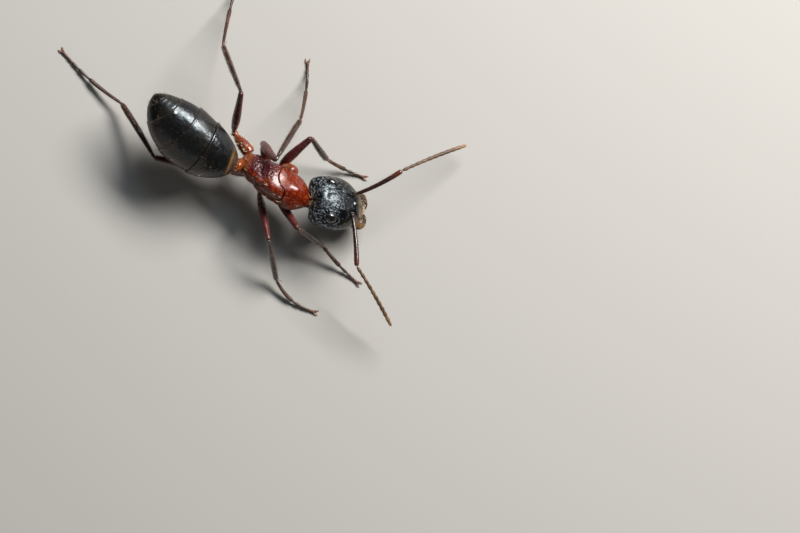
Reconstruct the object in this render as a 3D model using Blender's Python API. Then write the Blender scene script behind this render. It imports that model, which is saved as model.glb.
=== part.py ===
"""Carpenter ant worker, red trunk and black head and gaster, standing on six feet.

Axes: +X is the way the trunk points, +Y is the ant's left, +Z is up, and the floor is z = 0.
Sizes and places below are in millimetres. Each finished piece is turned into metres at the end.
Yaw turns left about Z, pitch lifts the front end, and roll lifts the left side, all in degrees.
"""

from functools import partial
from math import cos, radians, sin

import bmesh
import bpy
import numpy as np
from mathutils import Matrix, Vector

MM = 0.001
GAP = 0.03  # the joint line between neighbouring plates and limb pieces

# Limb rods: real shins and feet are thinner, and half a millimetre is the least a solid keeps
ROD = 0.25
COXA_ROOT = 0.30
THIGH_RADII = (0.25, 0.27, 0.27, 0.27, 0.25, 0.25)  # evenly spaced from the trochanter to the knee
FOOT_CENTRE = 0.22  # height of a foot's axis, so that the rod's underside is cut flat by the floor
LIMB_SIDES = 9
BODY_SIDES = 18
HEAD_SIDES = 24
PETIOLE_SIDES = 14

# Where each part of the body is, and how it is turned
TRUNK = dict(centre=(1.560, -1.370, 1.90), yaw=-2.5, pitch=3, roll=24)
HEAD = dict(centre=(4.036, -0.941, 1.72), yaw=19, pitch=-28, roll=-18)
PETIOLE = dict(centre=(-0.03, -1.49, 1.72), yaw=-6, pitch=0, roll=10)
GASTER = dict(centre=(-2.325, -1.478, 2.18), yaw=-11, pitch=-10, roll=8)

# Each plate's outline: place along its axis, half width, top, bottom, and how far its flanks
# trail behind its midline
PRONOTUM_ROWS = [
    (1.78, 0.17, 0.04, -0.22, 0.0),
    (1.54, 0.23, 0.14, -0.28, 0.0),
    (1.40, 0.37, 0.28, -0.36, 0.0),
    (1.20, 0.54, 0.46, -0.46, 0.02),
    (1.00, 0.67, 0.60, -0.53, 0.08),
    (0.80, 0.74, 0.69, -0.58, 0.18),
    (0.45, 0.75, 0.75, -0.62, 0.36),
]
MESONOTUM_ROWS = [
    (0.42, 0.73, 0.75, -0.62, 0.36),
    (0.24, 0.70, 0.77, -0.65, 0.30),
    (0.00, 0.63, 0.75, -0.67, 0.18),
    (-0.30, 0.58, 0.69, -0.67, 0.06),
]
PROPODEUM_ROWS = [
    (-0.33, 0.565, 0.67, -0.67, 0.06),
    (-0.60, 0.56, 0.67, -0.66, 0.0),
    (-0.95, 0.53, 0.60, -0.64, 0.0),
    (-1.25, 0.48, 0.42, -0.60, 0.0),
    (-1.50, 0.37, 0.05, -0.52, 0.0),
    (-1.64, 0.20, -0.16, -0.42, 0.0),
    (-1.68, 0.0, -0.28, -0.34, 0.0),
]
PETIOLE_ROWS = [
    (0.30, 0.15, 0.02, -0.26, 0.0),
    (0.20, 0.24, 0.18, -0.32, 0.0),
    (0.13, 0.30, 0.38, -0.34, 0.0),
    (0.00, 0.33, 0.50, -0.34, 0.0),
    (-0.13, 0.30, 0.42, -0.34, 0.0),
    (-0.22, 0.22, 0.16, -0.32, 0.0),
    (-0.34, 0.14, 0.06, -0.24, 0.0),
]
HEAD_ROWS = [
    (-1.06, 0.0, 0.04, -0.04, 0.0),
    (-1.03, 0.36, 0.26, -0.26, 0.06),
    (-0.98, 0.66, 0.42, -0.40, 0.14),
    (-0.82, 0.92, 0.56, -0.54, 0.17),
    (-0.45, 1.05, 0.66, -0.62, 0.10),
    (0.00, 1.08, 0.67, -0.64, 0.0),
    (0.40, 1.01, 0.60, -0.60, 0.0),
    (0.75, 0.84, 0.47, -0.52, 0.0),
    (1.00, 0.64, 0.31, -0.44, 0.0),
    (1.16, 0.45, 0.15, -0.37, 0.0),
    (1.27, 0.30, 0.02, -0.30, 0.0),
    (1.31, 0.0, -0.12, -0.18, 0.0),
]

# The gaster is one egg bent to the left, parted where its five plates overlap
GASTER_LENGTH = 4.50
GASTER_WIDE = 1.22
GASTER_TALL = 1.00
GASTER_BEND = 47  # how far its axis turns from end to end, in degrees
GASTER_BORDERS = (0.0, 0.34, 0.60, 0.82, 0.94, 1.0)
GASTER_TRAIL = 0.10  # how far a plate's flanks trail behind its midline
GASTER_EGG = dict(widest=0.48, front=(2.0, 0.49), tip=(1.8, 0.66), belly=0.95)
PLATE_LIP = 0.03  # how far a plate stands proud of the one it covers

EYE = dict(place=(-0.35, 0.77, 0.48), half=(0.23, 0.20, 0.12), tilt=38)
MANDIBLE_PATH = [(0.95, 0.46, -0.27), (1.17, 0.57, -0.30), (1.40, 0.55, -0.32), (1.54, 0.38, -0.33),
                 (1.57, 0.20, -0.33)]
MANDIBLE_RADII = (0.22, 0.21, 0.19, 0.17, 0.15)

# Antennae: the scape from its socket on the face, then the whip of small joints
SOCKET = (0.60, 0.35, 0.42)
SCAPE_LENGTH = 2.22
FUNICULUS_LENGTH = 3.08
WHIP_STEPS = 8
ANTENNAE = {
    "left": dict(side=1, scape=(55.8, 4), bow=(0.05, -0.06, 0.06), whip=(54, -14), curl=(-6, -18)),
    "right": dict(side=-1, scape=(-55.5, 13), bow=(0, 0.09, 0.06), whip=(-28, -12), curl=(-6, -22)),
}

# Legs: lengths by pair, then each leg's hip, the yaw and pitch of its lengths, and where its foot
# comes down from the ankle: how far, which way, and how much the foot curves sideways
LENGTHS = {
    "fore": dict(coxa=1.02, femur=2.08, tibia=1.78),
    "mid": dict(coxa=0.86, femur=2.38, tibia=2.28),
    "hind": dict(coxa=1.18, femur=2.94, tibia=2.75),
}
LEGS = {
    "fore_left": dict(hip=(0.43, 0.62, -0.42), coxa=(-175.5, -52.7), femur=(70.8, 34.8),
                      tibia=(-25.3, -54.2), foot=(1.62, 3.9, 6)),
    "fore_right": dict(hip=(0.96, -0.17, -0.6), coxa=(-141.9, -39.2), femur=(-27.5, 43),
                       tibia=(-6.1, -47), foot=(2, -17.1, 6)),
    "mid_left": dict(hip=(-0.71, 0.45, -0.52), coxa=(137.5, -26.2), femur=(-22.9, 67.3),
                     tibia=(88.3, -34.2), foot=(2.32, 112.6, 6)),
    "mid_right": dict(hip=(-0.47, -0.26, -0.66), coxa=(-85.1, -35), femur=(-48.8, 34.7),
                      tibia=(-50.2, -44.8), foot=(1.98, -10.9, 24)),
    "hind_left": dict(hip=(-1.48, 0.32, -0.5), coxa=(157.1, -19.3), femur=(106.8, 58),
                      tibia=(141, -41.7), foot=(2.89, 106.7, -4)),
    "hind_right": dict(hip=(-1.12, -0.34, -0.66), coxa=(-148.6, -19.2), femur=(-161.3, 16.3),
                       tibia=(150.9, -22.2), foot=(3.16, 168, -8)),
}

# Colour, roughness and metallic value of each part's finish
FINISHES = {
    "head": ((0.012, 0.013, 0.015), 0.42),
    "eye": ((0.010, 0.009, 0.010), 0.15),
    "mandible": ((0.060, 0.018, 0.010), 0.30),
    "antenna": ((0.050, 0.022, 0.012), 0.30),
    "trunk": ((0.260, 0.030, 0.010), 0.25),
    "gaster": ((0.016, 0.014, 0.013), 0.25),
    "leg": ((0.110, 0.022, 0.012), 0.30),
}


# --- frames and paths ---------------------------------------------------------------------------

def turned(centre, yaw, pitch, roll):
    """The matrix that carries a part's own axes to its place in the ant."""
    turn = Matrix.Rotation(radians(yaw), 4, "Z")
    turn @= Matrix.Rotation(radians(-pitch), 4, "Y")
    turn @= Matrix.Rotation(radians(roll), 4, "X")
    return Matrix.Translation(centre) @ turn


def heading(yaw, pitch=0.0):
    """A unit vector from its yaw and pitch."""
    level = cos(radians(pitch))
    return np.array([level * cos(radians(yaw)), level * sin(radians(yaw)), sin(radians(pitch))])


def straight(start, end, count, bow=(0, 0, 0)):
    """Points from start to end, pushed aside by bow at the middle."""
    t = np.linspace(0, 1, count)[:, None]
    return start + t * (end - start) + 4 * t * (1 - t) * np.array(bow)


def bezier(a, b, c, d, count):
    """Points along the cubic curve of four control points."""
    t = np.linspace(0, 1, count)[:, None]
    return (1 - t) ** 3 * a + 3 * (1 - t) ** 2 * t * b + 3 * (1 - t) * t * t * c + t ** 3 * d


def smoothed(rows, steps):
    """Rows carried on through a curve that passes through each of them, steps rows to a span."""
    rows = np.array(rows, float)
    ends = np.vstack([2 * rows[0] - rows[1], rows, 2 * rows[-1] - rows[-2]])
    out = []
    for a, b, c, d in zip(ends[:-3], ends[1:-2], ends[2:-1], ends[3:]):
        for t in np.arange(steps) / steps:
            out.append(0.5 * (2 * b + (c - a) * t + (2 * a - 5 * b + 4 * c - d) * t ** 2
                              + (3 * b - a - 3 * c + d) * t ** 3))
    return np.array(out + [rows[-1]])


# --- meshes -------------------------------------------------------------------------------------

def closed_mesh(rings, first, last):
    """A mesh of rings of equal count, closed at each end by a fan round one point."""
    count, sides = rings.shape[:2]
    points = [tuple(p) for p in rings.reshape(-1, 3)] + [tuple(first), tuple(last)]
    faces = []
    for i in range(count - 1):
        for j in range(sides):
            k = (j + 1) % sides
            faces.append((i * sides + j, i * sides + k, (i + 1) * sides + k, (i + 1) * sides + j))
    for j in range(sides):
        k = (j + 1) % sides
        faces.append((count * sides, k, j))
        faces.append((count * sides + 1, (count - 1) * sides + j, (count - 1) * sides + k))
    mesh = bpy.data.meshes.new("piece")
    mesh.from_pydata(points, [], faces)
    return outward(mesh)


def outward(mesh):
    """Turns every face of a closed mesh outwards."""
    work = bmesh.new()
    work.from_mesh(mesh)
    bmesh.ops.recalc_face_normals(work, faces=work.faces)
    work.to_mesh(mesh)
    work.free()
    return mesh


def rod(path, radii, grow=0.0, sides=LIMB_SIDES):
    """A round rod carried along a path, with domed ends, its underside cut flat by the floor."""
    path = np.array(path, float)
    radii = np.broadcast_to(radii, len(path)) + grow
    tangents = np.gradient(path, axis=0)
    tangents /= np.linalg.norm(tangents, axis=1)[:, None]
    side = np.cross(tangents[0], (0.3, 0.2, 0.9))
    centres = []
    spans = []
    for i, (point, radius, tangent) in enumerate(zip(path, radii, tangents)):
        side = side - tangent * (side @ tangent)
        side /= np.linalg.norm(side)
        across = (side, np.cross(tangent, side))
        if i == 0:
            for dome in (60, 30):
                centres.append(point - tangent * radius * sin(radians(dome)))
                spans.append((across, radius * cos(radians(dome))))
        centres.append(point)
        spans.append((across, radius))
        if i == len(path) - 1:
            for dome in (30, 60):
                centres.append(point + tangent * radius * sin(radians(dome)))
                spans.append((across, radius * cos(radians(dome))))
    angles = np.linspace(0, 2 * np.pi, sides, endpoint=False)[:, None]
    rings = np.array([centre + radius * (np.cos(angles) * u + np.sin(angles) * v)
                      for centre, ((u, v), radius) in zip(centres, spans)])
    first = path[0] - tangents[0] * radii[0]
    last = path[-1] + tangents[-1] * radii[-1]
    for points in (rings, first[None], last[None]):
        points[..., 2] = np.maximum(points[..., 2], -grow)
    return closed_mesh(rings, first, last)


def bent(points, turn):
    """Points carried along an axis that turns left towards both ends, by an angle per millimetre."""
    x, y, z = np.moveaxis(np.asarray(points, float), -1, 0)
    angle = turn * x
    return np.stack([np.sin(angle) * (1 / turn - y), 1 / turn - np.cos(angle) * (1 / turn - y), z], axis=-1)


def plate(rows, frame, grow=0.0, sides=BODY_SIDES, square=2.3, steps=2, turn=0.0):
    """A body plate lofted through its rows, whose sections are slightly squared ellipses."""
    rows = smoothed(rows, steps)
    ways = np.sign(rows[-1, 0] - rows[0, 0])
    rows[0, 0] -= ways * grow
    rows[-1, 0] += ways * grow
    pointed = [bool(row[1] < 1e-6) for row in (rows[0], rows[-1])]
    body = rows[1 if pointed[0] else 0:-1 if pointed[1] else None]
    along, half, top, bottom, trail = (column[:, None] for column in body.T)
    angles = np.linspace(0, 2 * np.pi, sides, endpoint=False)
    c, s = np.cos(angles), np.sin(angles)
    c = np.sign(c) * np.abs(c) ** (2 / square)
    s = np.sign(s) * np.abs(s) ** (2 / square)
    middle = (top + bottom) / 2
    y = (half + grow) * c
    z = middle + ((top - bottom) / 2 + grow) * s
    x = along - trail * c ** 2 + 0 * y
    rings = np.stack([x, y, z], axis=-1)
    ends = np.array([(row[0], 0, (row[2] + row[3]) / 2) for row in (rows[0], rows[-1])])
    if turn:
        rings, ends = bent(rings, turn), bent(ends, turn)
    mesh = closed_mesh(rings, *ends)
    mesh.transform(frame)
    return mesh


def ball(half, frame, grow=0.0):
    """An oval ball, from its three half sizes."""
    work = bmesh.new()
    bmesh.ops.create_uvsphere(work, u_segments=14, v_segments=8, radius=1)
    bmesh.ops.scale(work, verts=work.verts, vec=[size + grow for size in half])
    mesh = bpy.data.meshes.new("piece")
    work.to_mesh(mesh)
    work.free()
    mesh.transform(frame)
    return mesh


# --- the ant's parts ----------------------------------------------------------------------------

def gaster_rows(first, last, lip):
    """Rows of one gaster plate: a slice of the egg between two fractions of its length."""
    egg = GASTER_EGG
    rows = []
    for s in first + (last - first) * (0.5 - 0.5 * np.cos(np.pi * np.linspace(0, 1, 6))):
        away = s - egg["widest"]
        full, blunt = egg["tip"] if away > 0 else egg["front"]
        reach = away / (1 - egg["widest"]) if away > 0 else -away / egg["widest"]
        swell = max(0.0, 1 - reach ** full) ** blunt
        half = GASTER_WIDE * swell + (lip if swell else 0.0)
        top = GASTER_TALL * swell
        trail = GASTER_TRAIL * 4 * s * (1 - s)
        rows.append((GASTER_LENGTH * (0.5 - s), half, top, -egg["belly"] * top, trail))
    return rows


def trunk_shapes():
    """The maker of each plate from the neck to the waist, and of the head.

    A maker is called with a growth, and returns its mesh that much larger all round.
    """
    trunk = turned(**TRUNK)
    return {
        "pronotum": partial(plate, PRONOTUM_ROWS, trunk),
        "mesonotum": partial(plate, MESONOTUM_ROWS, trunk),
        "propodeum": partial(plate, PROPODEUM_ROWS, trunk),
        "petiole": partial(plate, PETIOLE_ROWS, turned(**PETIOLE), sides=PETIOLE_SIDES),
        "head": partial(plate, HEAD_ROWS, turned(**HEAD), sides=HEAD_SIDES),
    }


def gaster_shapes():
    """The maker of each plate of the gaster."""
    gaster = turned(**GASTER)
    slit = GAP / GASTER_LENGTH / 2
    turn = radians(GASTER_BEND) / GASTER_LENGTH
    borders = list(zip(GASTER_BORDERS[:-1], GASTER_BORDERS[1:]))
    shapes = {}
    for i, (first, last) in enumerate(borders):
        first += slit if i else 0.0
        last -= slit if last < 1 else 0.0
        rows = gaster_rows(first, last, PLATE_LIP * (1 - i / (len(borders) - 1)))
        shapes[f"gaster_{i + 1}"] = partial(plate, rows, gaster, square=2.0, steps=1, turn=turn)
    return shapes


def face_shapes():
    """The maker of each eye and mandible."""
    head = turned(**HEAD)
    radii = smoothed([[radius] for radius in MANDIBLE_RADII], 2)[:, 0]
    shapes = {}
    for side, way in (("left", 1), ("right", -1)):
        x, y, z = EYE["place"]
        spot = head @ Matrix.Translation((x, way * y, z))
        spot @= Matrix.Rotation(radians(-way * EYE["tilt"]), 4, "X")
        shapes[f"eye_{side}"] = partial(ball, EYE["half"], spot)
        jaw = smoothed([head @ Vector((px, way * py, pz)) for px, py, pz in MANDIBLE_PATH], 2)
        shapes[f"mandible_{side}"] = partial(rod, jaw, radii)
    return shapes


def antenna_shapes():
    """The scape and the whip of each antenna."""
    head = turned(**HEAD)
    shapes = {}
    for side, pose in ANTENNAE.items():
        x, y, z = SOCKET
        root = np.array(head @ Vector((x, pose["side"] * y, z)))
        elbow = root + SCAPE_LENGTH * heading(*pose["scape"])
        scape = straight(root, elbow, 6, pose["bow"])
        yaw, pitch = pose["whip"]
        turn, drop = pose["curl"]
        steps = [heading(yaw + turn * t, pitch + drop * t) for t in np.linspace(0, 1, WHIP_STEPS)]
        whip = elbow + FUNICULUS_LENGTH / WHIP_STEPS * np.vstack([np.zeros(3), np.cumsum(steps, axis=0)])
        shapes[f"antenna_{side}_scape"] = partial(rod, scape, ROD)
        shapes[f"antenna_{side}_funiculus"] = partial(rod, whip, ROD)
    return shapes


def leg_shapes():
    """The four lengths of each leg, each starting where the last one ends."""
    trunk = turned(**TRUNK)
    shapes = {}
    for leg, pose in LEGS.items():
        length = LENGTHS[leg.split("_")[0]]
        hip = np.array(trunk @ Vector(pose["hip"]))
        ring = hip + length["coxa"] * heading(*pose["coxa"])
        knee = ring + length["femur"] * heading(*pose["femur"])
        ankle = knee + length["tibia"] * heading(*pose["tibia"])
        reach, way, curve = pose["foot"]
        toe = ankle + reach * heading(way)
        toe[2] = FOOT_CENTRE
        start = ankle + 0.4 * reach * heading(way - curve)
        start[2] = ankle[2] + 0.62 * (FOOT_CENTRE - ankle[2])
        landing = toe - 0.35 * reach * heading(way + curve)
        shapes[f"leg_{leg}_coxa"] = partial(rod, straight(hip, ring, 4), np.linspace(COXA_ROOT, ROD, 4))
        shapes[f"leg_{leg}_femur"] = partial(rod, straight(ring, knee, 6), THIGH_RADII)
        shapes[f"leg_{leg}_tibia"] = partial(rod, straight(knee, ankle, 5), ROD)
        shapes[f"leg_{leg}_tarsus"] = partial(rod, bezier(ankle, start, landing, toe, 9), ROD)
    return shapes


def neighbours():
    """What each piece is cut back from, so that it meets its neighbour with an even joint line."""
    cuts = {
        "pronotum": ["head"],
        "petiole": ["propodeum", "gaster_1"],
        "head": ["eye_left", "eye_right"],
    }
    for side in ("left", "right"):
        cuts[f"mandible_{side}"] = ["head"]
        cuts[f"antenna_{side}_scape"] = ["head"]
        cuts[f"antenna_{side}_funiculus"] = [f"antenna_{side}_scape"]
    for leg in LEGS:
        plates = {"fore": ["pronotum", "mesonotum"], "mid": ["mesonotum", "propodeum"],
                  "hind": ["propodeum", "mesonotum"]}[leg.split("_")[0]]
        cuts[f"leg_{leg}_coxa"] = plates
        for upper, lower in (("coxa", "femur"), ("femur", "tibia"), ("tibia", "tarsus")):
            cuts[f"leg_{leg}_{lower}"] = [f"leg_{leg}_{upper}"]
    return cuts


# --- building -----------------------------------------------------------------------------------

def finish_of(name):
    """The finish that a part's name calls for."""
    for kind in ("eye", "mandible", "antenna", "gaster", "leg", "head"):
        if name.startswith(kind):
            return kind
    return "trunk"


def material_for(name):
    """The piece's own Principled material."""
    colour, roughness = FINISHES[finish_of(name)]
    material = bpy.data.materials.new(f"{name}_finish")
    material.use_nodes = True
    shader = material.node_tree.nodes["Principled BSDF"]
    shader.inputs["Base Color"].default_value = (*colour, 1)
    shader.inputs["Roughness"].default_value = roughness
    shader.inputs["Metallic"].default_value = 0.0
    return material


def cut_back(piece, cutter_meshes):
    """Takes the cutters' shapes out of a piece, and removes the cutters."""
    for mesh in cutter_meshes:
        cutter = bpy.data.objects.new("cutter", mesh)
        bpy.context.scene.collection.objects.link(cutter)
        cut = piece.modifiers.new("cut", "BOOLEAN")
        cut.operation = "DIFFERENCE"
        cut.solver = "EXACT"
        cut.object = cutter
        bpy.context.view_layer.update()
        evaluated = piece.evaluated_get(bpy.context.evaluated_depsgraph_get())
        result = bpy.data.meshes.new_from_object(evaluated)
        piece.modifiers.remove(cut)
        piece.data = result
        bpy.data.objects.remove(cutter)


def set_down(piece):
    """Moves the piece's origin to its first point and turns millimetres into metres."""
    start = piece.data.vertices[0].co.copy()
    piece.data.transform(Matrix.Scale(MM, 4) @ Matrix.Translation(-start))
    piece.location = start * MM
    piece.data.shade_smooth()
    piece.data.set_sharp_from_angle(angle=radians(40))


def main():
    """Builds the whole ant."""
    for thing in list(bpy.data.objects):
        bpy.data.objects.remove(thing)
    shapes = trunk_shapes() | face_shapes() | gaster_shapes() | antenna_shapes() | leg_shapes()
    cuts = neighbours()
    for name, shape in shapes.items():
        piece = bpy.data.objects.new(name, shape())
        bpy.context.scene.collection.objects.link(piece)
        cut_back(piece, [shapes[other](grow=GAP) for other in cuts.get(name, [])])
        piece.data.materials.clear()
        piece.data.materials.append(material_for(name))
        set_down(piece)


main()
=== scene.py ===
from math import cos, pi, radians, sin

import bpy
import numpy as np
from mathutils import Matrix, Vector


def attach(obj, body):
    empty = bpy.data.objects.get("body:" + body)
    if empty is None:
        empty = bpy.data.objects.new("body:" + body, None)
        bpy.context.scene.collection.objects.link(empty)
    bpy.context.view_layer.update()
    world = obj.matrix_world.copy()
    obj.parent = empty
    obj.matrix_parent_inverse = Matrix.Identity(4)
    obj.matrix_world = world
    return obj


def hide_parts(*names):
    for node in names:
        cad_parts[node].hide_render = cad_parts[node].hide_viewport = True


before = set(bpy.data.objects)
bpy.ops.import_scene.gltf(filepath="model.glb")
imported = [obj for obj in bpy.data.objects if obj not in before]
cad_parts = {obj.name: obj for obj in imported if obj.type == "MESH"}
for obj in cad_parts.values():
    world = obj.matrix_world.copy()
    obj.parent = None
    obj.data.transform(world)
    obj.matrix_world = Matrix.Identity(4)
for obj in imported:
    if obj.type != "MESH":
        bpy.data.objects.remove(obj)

rng = np.random.default_rng(7)
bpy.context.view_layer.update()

# Every size below is in millimetres; a finished mesh is scaled to metres once, when it is made.

millimetre = 0.001
upwards = np.array([0, 0, 1.0])
nearlyUp = np.array([0.1, 0.2, 1.0])  # a direction that no feeler runs along

poses = {  # the middle of each part of the body, and its turns in degrees
    "trunk": dict(centre=(1.560, -1.370, 1.90), yaw=-2.5, pitch=3, roll=24),
    "head": dict(centre=(4.036, -0.941, 1.72), yaw=19, pitch=-28, roll=-18),
    "petiole": dict(centre=(-0.03, -1.49, 1.72), yaw=-6, pitch=0, roll=10),
    "gaster": dict(centre=(-2.325, -1.478, 2.18), yaw=-11, pitch=-10, roll=8),
}


# Paths and frames

def turned(centre, yaw, pitch, roll):
    turn = Matrix.Translation(centre) @ Matrix.Rotation(radians(yaw), 4, "Z")
    turn = turn @ Matrix.Rotation(radians(-pitch), 4, "Y") @ Matrix.Rotation(radians(roll), 4, "X")
    return np.array(turn)


def placed(matrix, points):
    return np.asarray(points, float) @ matrix[:3, :3].T + matrix[:3, 3]


def unit(vectors):
    return vectors / np.maximum(np.linalg.norm(vectors, axis=-1, keepdims=True), 1e-12)


def heading(yaw, pitch=0.0):
    level = cos(radians(pitch))
    return np.array([level * cos(radians(yaw)), level * sin(radians(yaw)), sin(radians(pitch))])


def straight(start, end, count, bow):  # a line with a bow on it that is full in the middle
    t = np.linspace(0, 1, count)[:, None]
    return start + t * (end - start) + 4 * t * (1 - t) * np.array(bow)


def bezier(a, b, c, d, count):  # from a to d, leaving towards b and arriving from c
    t = np.linspace(0, 1, count)[:, None]
    return (1 - t) ** 3 * a + 3 * (1 - t) ** 2 * t * b + 3 * (1 - t) * t * t * c + t ** 3 * d


def curveThrough(rows, t):  # passes through every row, heading from the row before it to the row after it
    rows = np.array(rows, float)
    ends = np.vstack([2 * rows[0] - rows[1], rows, 2 * rows[-1] - rows[-2]])
    place = np.clip(t, 0, 1) * (len(rows) - 1)
    k = np.minimum(place.astype(int), len(rows) - 2)
    f = (place - k)[:, None]
    a, b, c, d = (ends[k + n] for n in range(4))
    square = (2 * a - 5 * b + 4 * c - d) * f ** 2
    cube = (3 * b - a - 3 * c + d) * f ** 3
    return 0.5 * (2 * b + (c - a) * f + square + cube)


def profile(pairs, t):  # sizes joined by straight steps, rounded off by a short moving average
    places, sizes = np.array(pairs, float).T
    x = np.linspace(0, 1, 401)
    steps = np.interp(x, places, sizes)
    window = np.hanning(21)
    padded = np.pad(steps, len(window) // 2, mode="edge")
    smooth = np.convolve(padded, window / window.sum(), mode="valid")
    return np.interp(t, x, smooth)


def bell(x):  # e to the power of minus x squared: one in the middle, falling to both sides
    return np.exp(-x * x)


def marked(mark, distance):  # a ridge with a bell for its section, or a groove where its height is below zero
    height, width = mark
    return height * bell(distance / width)


def ramp(x, low, high):  # from nothing at low to one at high, level at both ends
    t = np.clip((x - low) / (high - low), 0, 1)
    return t * t * (3 - 2 * t)


def between(x, rise, fall):  # one from the end of the rise to the start of the fall
    return ramp(x, *rise) * ramp(-x, -fall[1], -fall[0])


def clustered(count):  # places from nothing to one that stand closer together towards both ends
    return 0.5 - 0.5 * np.cos(pi * np.linspace(0, 1, count))


def circle(count):
    return np.linspace(0, 2 * pi, count, endpoint=False)


# Meshes: a part is a grid of rings closed round and at both ends, with named values per point

def gridNormals(grid):
    down = np.gradient(grid, axis=0)
    around = np.roll(grid, -1, axis=1) - np.roll(grid, 1, axis=1)
    normals = unit(np.cross(around, down))
    outward = np.sum(normals * (grid - grid.mean(axis=1, keepdims=True)))
    return normals if outward > 0 else -normals


def facingOut(points, quads, tris, middle):  # turns the faces over where their signed volume is below zero
    corners = np.vstack([quads[:, :3], quads[:, [0, 2, 3]], tris])
    p, q, r = (points[corners[:, n]] - middle for n in range(3))
    if np.sum(p * np.cross(q, r)) < 0:
        return quads[:, ::-1], tris[:, ::-1]
    return quads, tris


def closedPart(grid, values, material=0):  # four-sided faces between the rings, and a fan over each end
    rings, sides = grid.shape[:2]
    first, last = grid[0].mean(axis=0), grid[-1].mean(axis=0)
    points = np.vstack([grid.reshape(-1, 3), first[None], last[None]])
    i, j = np.arange(rings - 1)[:, None], np.arange(sides)[None, :]
    a, b = i * sides + j, i * sides + (j + 1) % sides
    quads = np.stack([a, b, b + sides, a + sides], axis=-1).reshape(-1, 4)
    j, k = np.arange(sides), (np.arange(sides) + 1) % sides
    end, pole = (rings - 1) * sides, rings * sides
    tris = np.vstack([np.stack([k, j, np.full(sides, pole)], axis=-1),
                      np.stack([end + j, end + k, np.full(sides, pole + 1)], axis=-1)])
    quads, tris = facingOut(points, quads, tris, first)
    named = {}
    for name, value in values.items():
        whole = np.broadcast_to(value, (rings, sides)).reshape(-1)
        named[name] = np.concatenate([whole, [whole[:sides].mean(), whole[-sides:].mean()]])
    return dict(points=points, quads=quads, tris=tris, values=named, material=material)


def tubePart(grid, material=0):  # its value says how far along the tube a point is
    return closedPart(grid, {"along": np.linspace(0, 1, len(grid))[:, None]}, material)


def ringPart(grid, along, material):  # a tube whose last ring joins its first
    rings, sides = grid.shape[:2]
    i, j = np.arange(rings)[:, None], np.arange(sides)[None, :]
    nextRing, nextSide = (i + 1) % rings, (j + 1) % sides
    corners = [i * sides + j, nextRing * sides + j, nextRing * sides + nextSide, i * sides + nextSide]
    quads = np.stack(corners, axis=-1).reshape(-1, 4)
    points = grid.reshape(-1, 3)
    quads, tris = facingOut(points, quads, np.zeros((0, 3), int), grid.mean(axis=(0, 1)))
    values = {"along": along.reshape(-1)}
    return dict(points=points, quads=quads, tris=tris, values=values, material=material)


def makePiece(name, parts, finishes, node, uv=None):
    name = name.replace(" ", "_")
    offsets = np.cumsum([0] + [len(part["points"]) for part in parts])
    points = np.vstack([part["points"] for part in parts]) * millimetre
    quads = np.vstack([part["quads"] + offset for part, offset in zip(parts, offsets)])
    tris = np.vstack([part["tris"] + offset for part, offset in zip(parts, offsets)])
    mesh = bpy.data.meshes.new(name)
    mesh.from_pydata(points, [], quads.tolist() + tris.tolist())
    for key in sorted({key for part in parts for key in part["values"]}):
        layer = mesh.attributes.new(name=key, type="FLOAT", domain="POINT")
        column = [part["values"].get(key, np.zeros(len(part["points"]))) for part in parts]
        layer.data.foreach_set("value", np.concatenate(column).astype(np.float32))
    indices = [np.full(len(part[kind]), part["material"]) for kind in ("quads", "tris") for part in parts]
    mesh.polygons.foreach_set("material_index", np.concatenate(indices).astype(np.int32))
    mesh.polygons.foreach_set("use_smooth", np.ones(len(mesh.polygons), bool))
    if uv is not None:
        layer = mesh.uv_layers.new(name="OFBake")
        corners = np.empty(len(mesh.loops), np.int32)
        mesh.loops.foreach_get("vertex_index", corners)
        layer.data.foreach_set("uv", uv[corners].astype(np.float32).ravel())
    for finish in finishes:
        mesh.materials.append(finish)
    mesh.update()
    piece = bpy.data.objects.new(name, mesh)
    bpy.context.scene.collection.objects.link(piece)
    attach(piece, "root")
    if node:
        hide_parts(node)


skins = {}  # the grids that hairs grow from, with their normals


def keepSkin(name, grid):
    skins[name] = dict(points=grid, normals=gridNormals(grid))


def tubeGrid(path, wide, tall, sides, reference):  # ovals square to the path, wide across the reference
    tangents = unit(np.gradient(path, axis=0))
    across = unit(np.cross(reference, tangents))
    over = np.cross(tangents, across)
    angles = circle(sides)
    wide, tall = np.broadcast_to(wide, len(path)), np.broadcast_to(tall, len(path))
    return (path[:, None]
            + (wide[:, None] * np.cos(angles))[..., None] * across[:, None]
            + (tall[:, None] * np.sin(angles))[..., None] * over[:, None])


# Shader groups and helpers

def plug(tree, node, links):  # a socket is linked to the input, and anything else is set on the input itself
    for key, value in links.items():
        if isinstance(value, bpy.types.NodeSocket):
            tree.links.new(value, node.inputs[key])
        else:
            node.inputs[key].default_value = value
    return node


def addNode(tree, kind, links, **settings):
    node = tree.nodes.new(kind)
    for key, value in settings.items():
        setattr(node, key, value)
    return plug(tree, node, links)


def calc(tree, operation, a, b, clamp=False):
    return addNode(tree, "ShaderNodeMath", {0: a, 1: b}, operation=operation, use_clamp=clamp).outputs[0]


def times(tree, a, b):
    return calc(tree, "MULTIPLY", a, b)


def oneMinus(tree, value):
    return calc(tree, "SUBTRACT", 1.0, value)


def mixColour(tree, factor, a, b):
    return addNode(tree, "ShaderNodeMix", {0: factor, 6: a, 7: b}, data_type="RGBA").outputs[2]


def span(tree, value, low, high, toLow=0.0, toHigh=1.0):  # the ramp above, carried from one span to another
    links = {0: value, 1: low, 2: high, 3: toLow, 4: toHigh}
    return addNode(tree, "ShaderNodeMapRange", links, interpolation_type="SMOOTHSTEP").outputs[0]


def noise(tree, place, scale, detail, roughness=0.5):
    links = {"Vector": place, "Scale": scale, "Detail": detail, "Roughness": roughness}
    return addNode(tree, "ShaderNodeTexNoise", links).outputs["Fac"]


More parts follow.
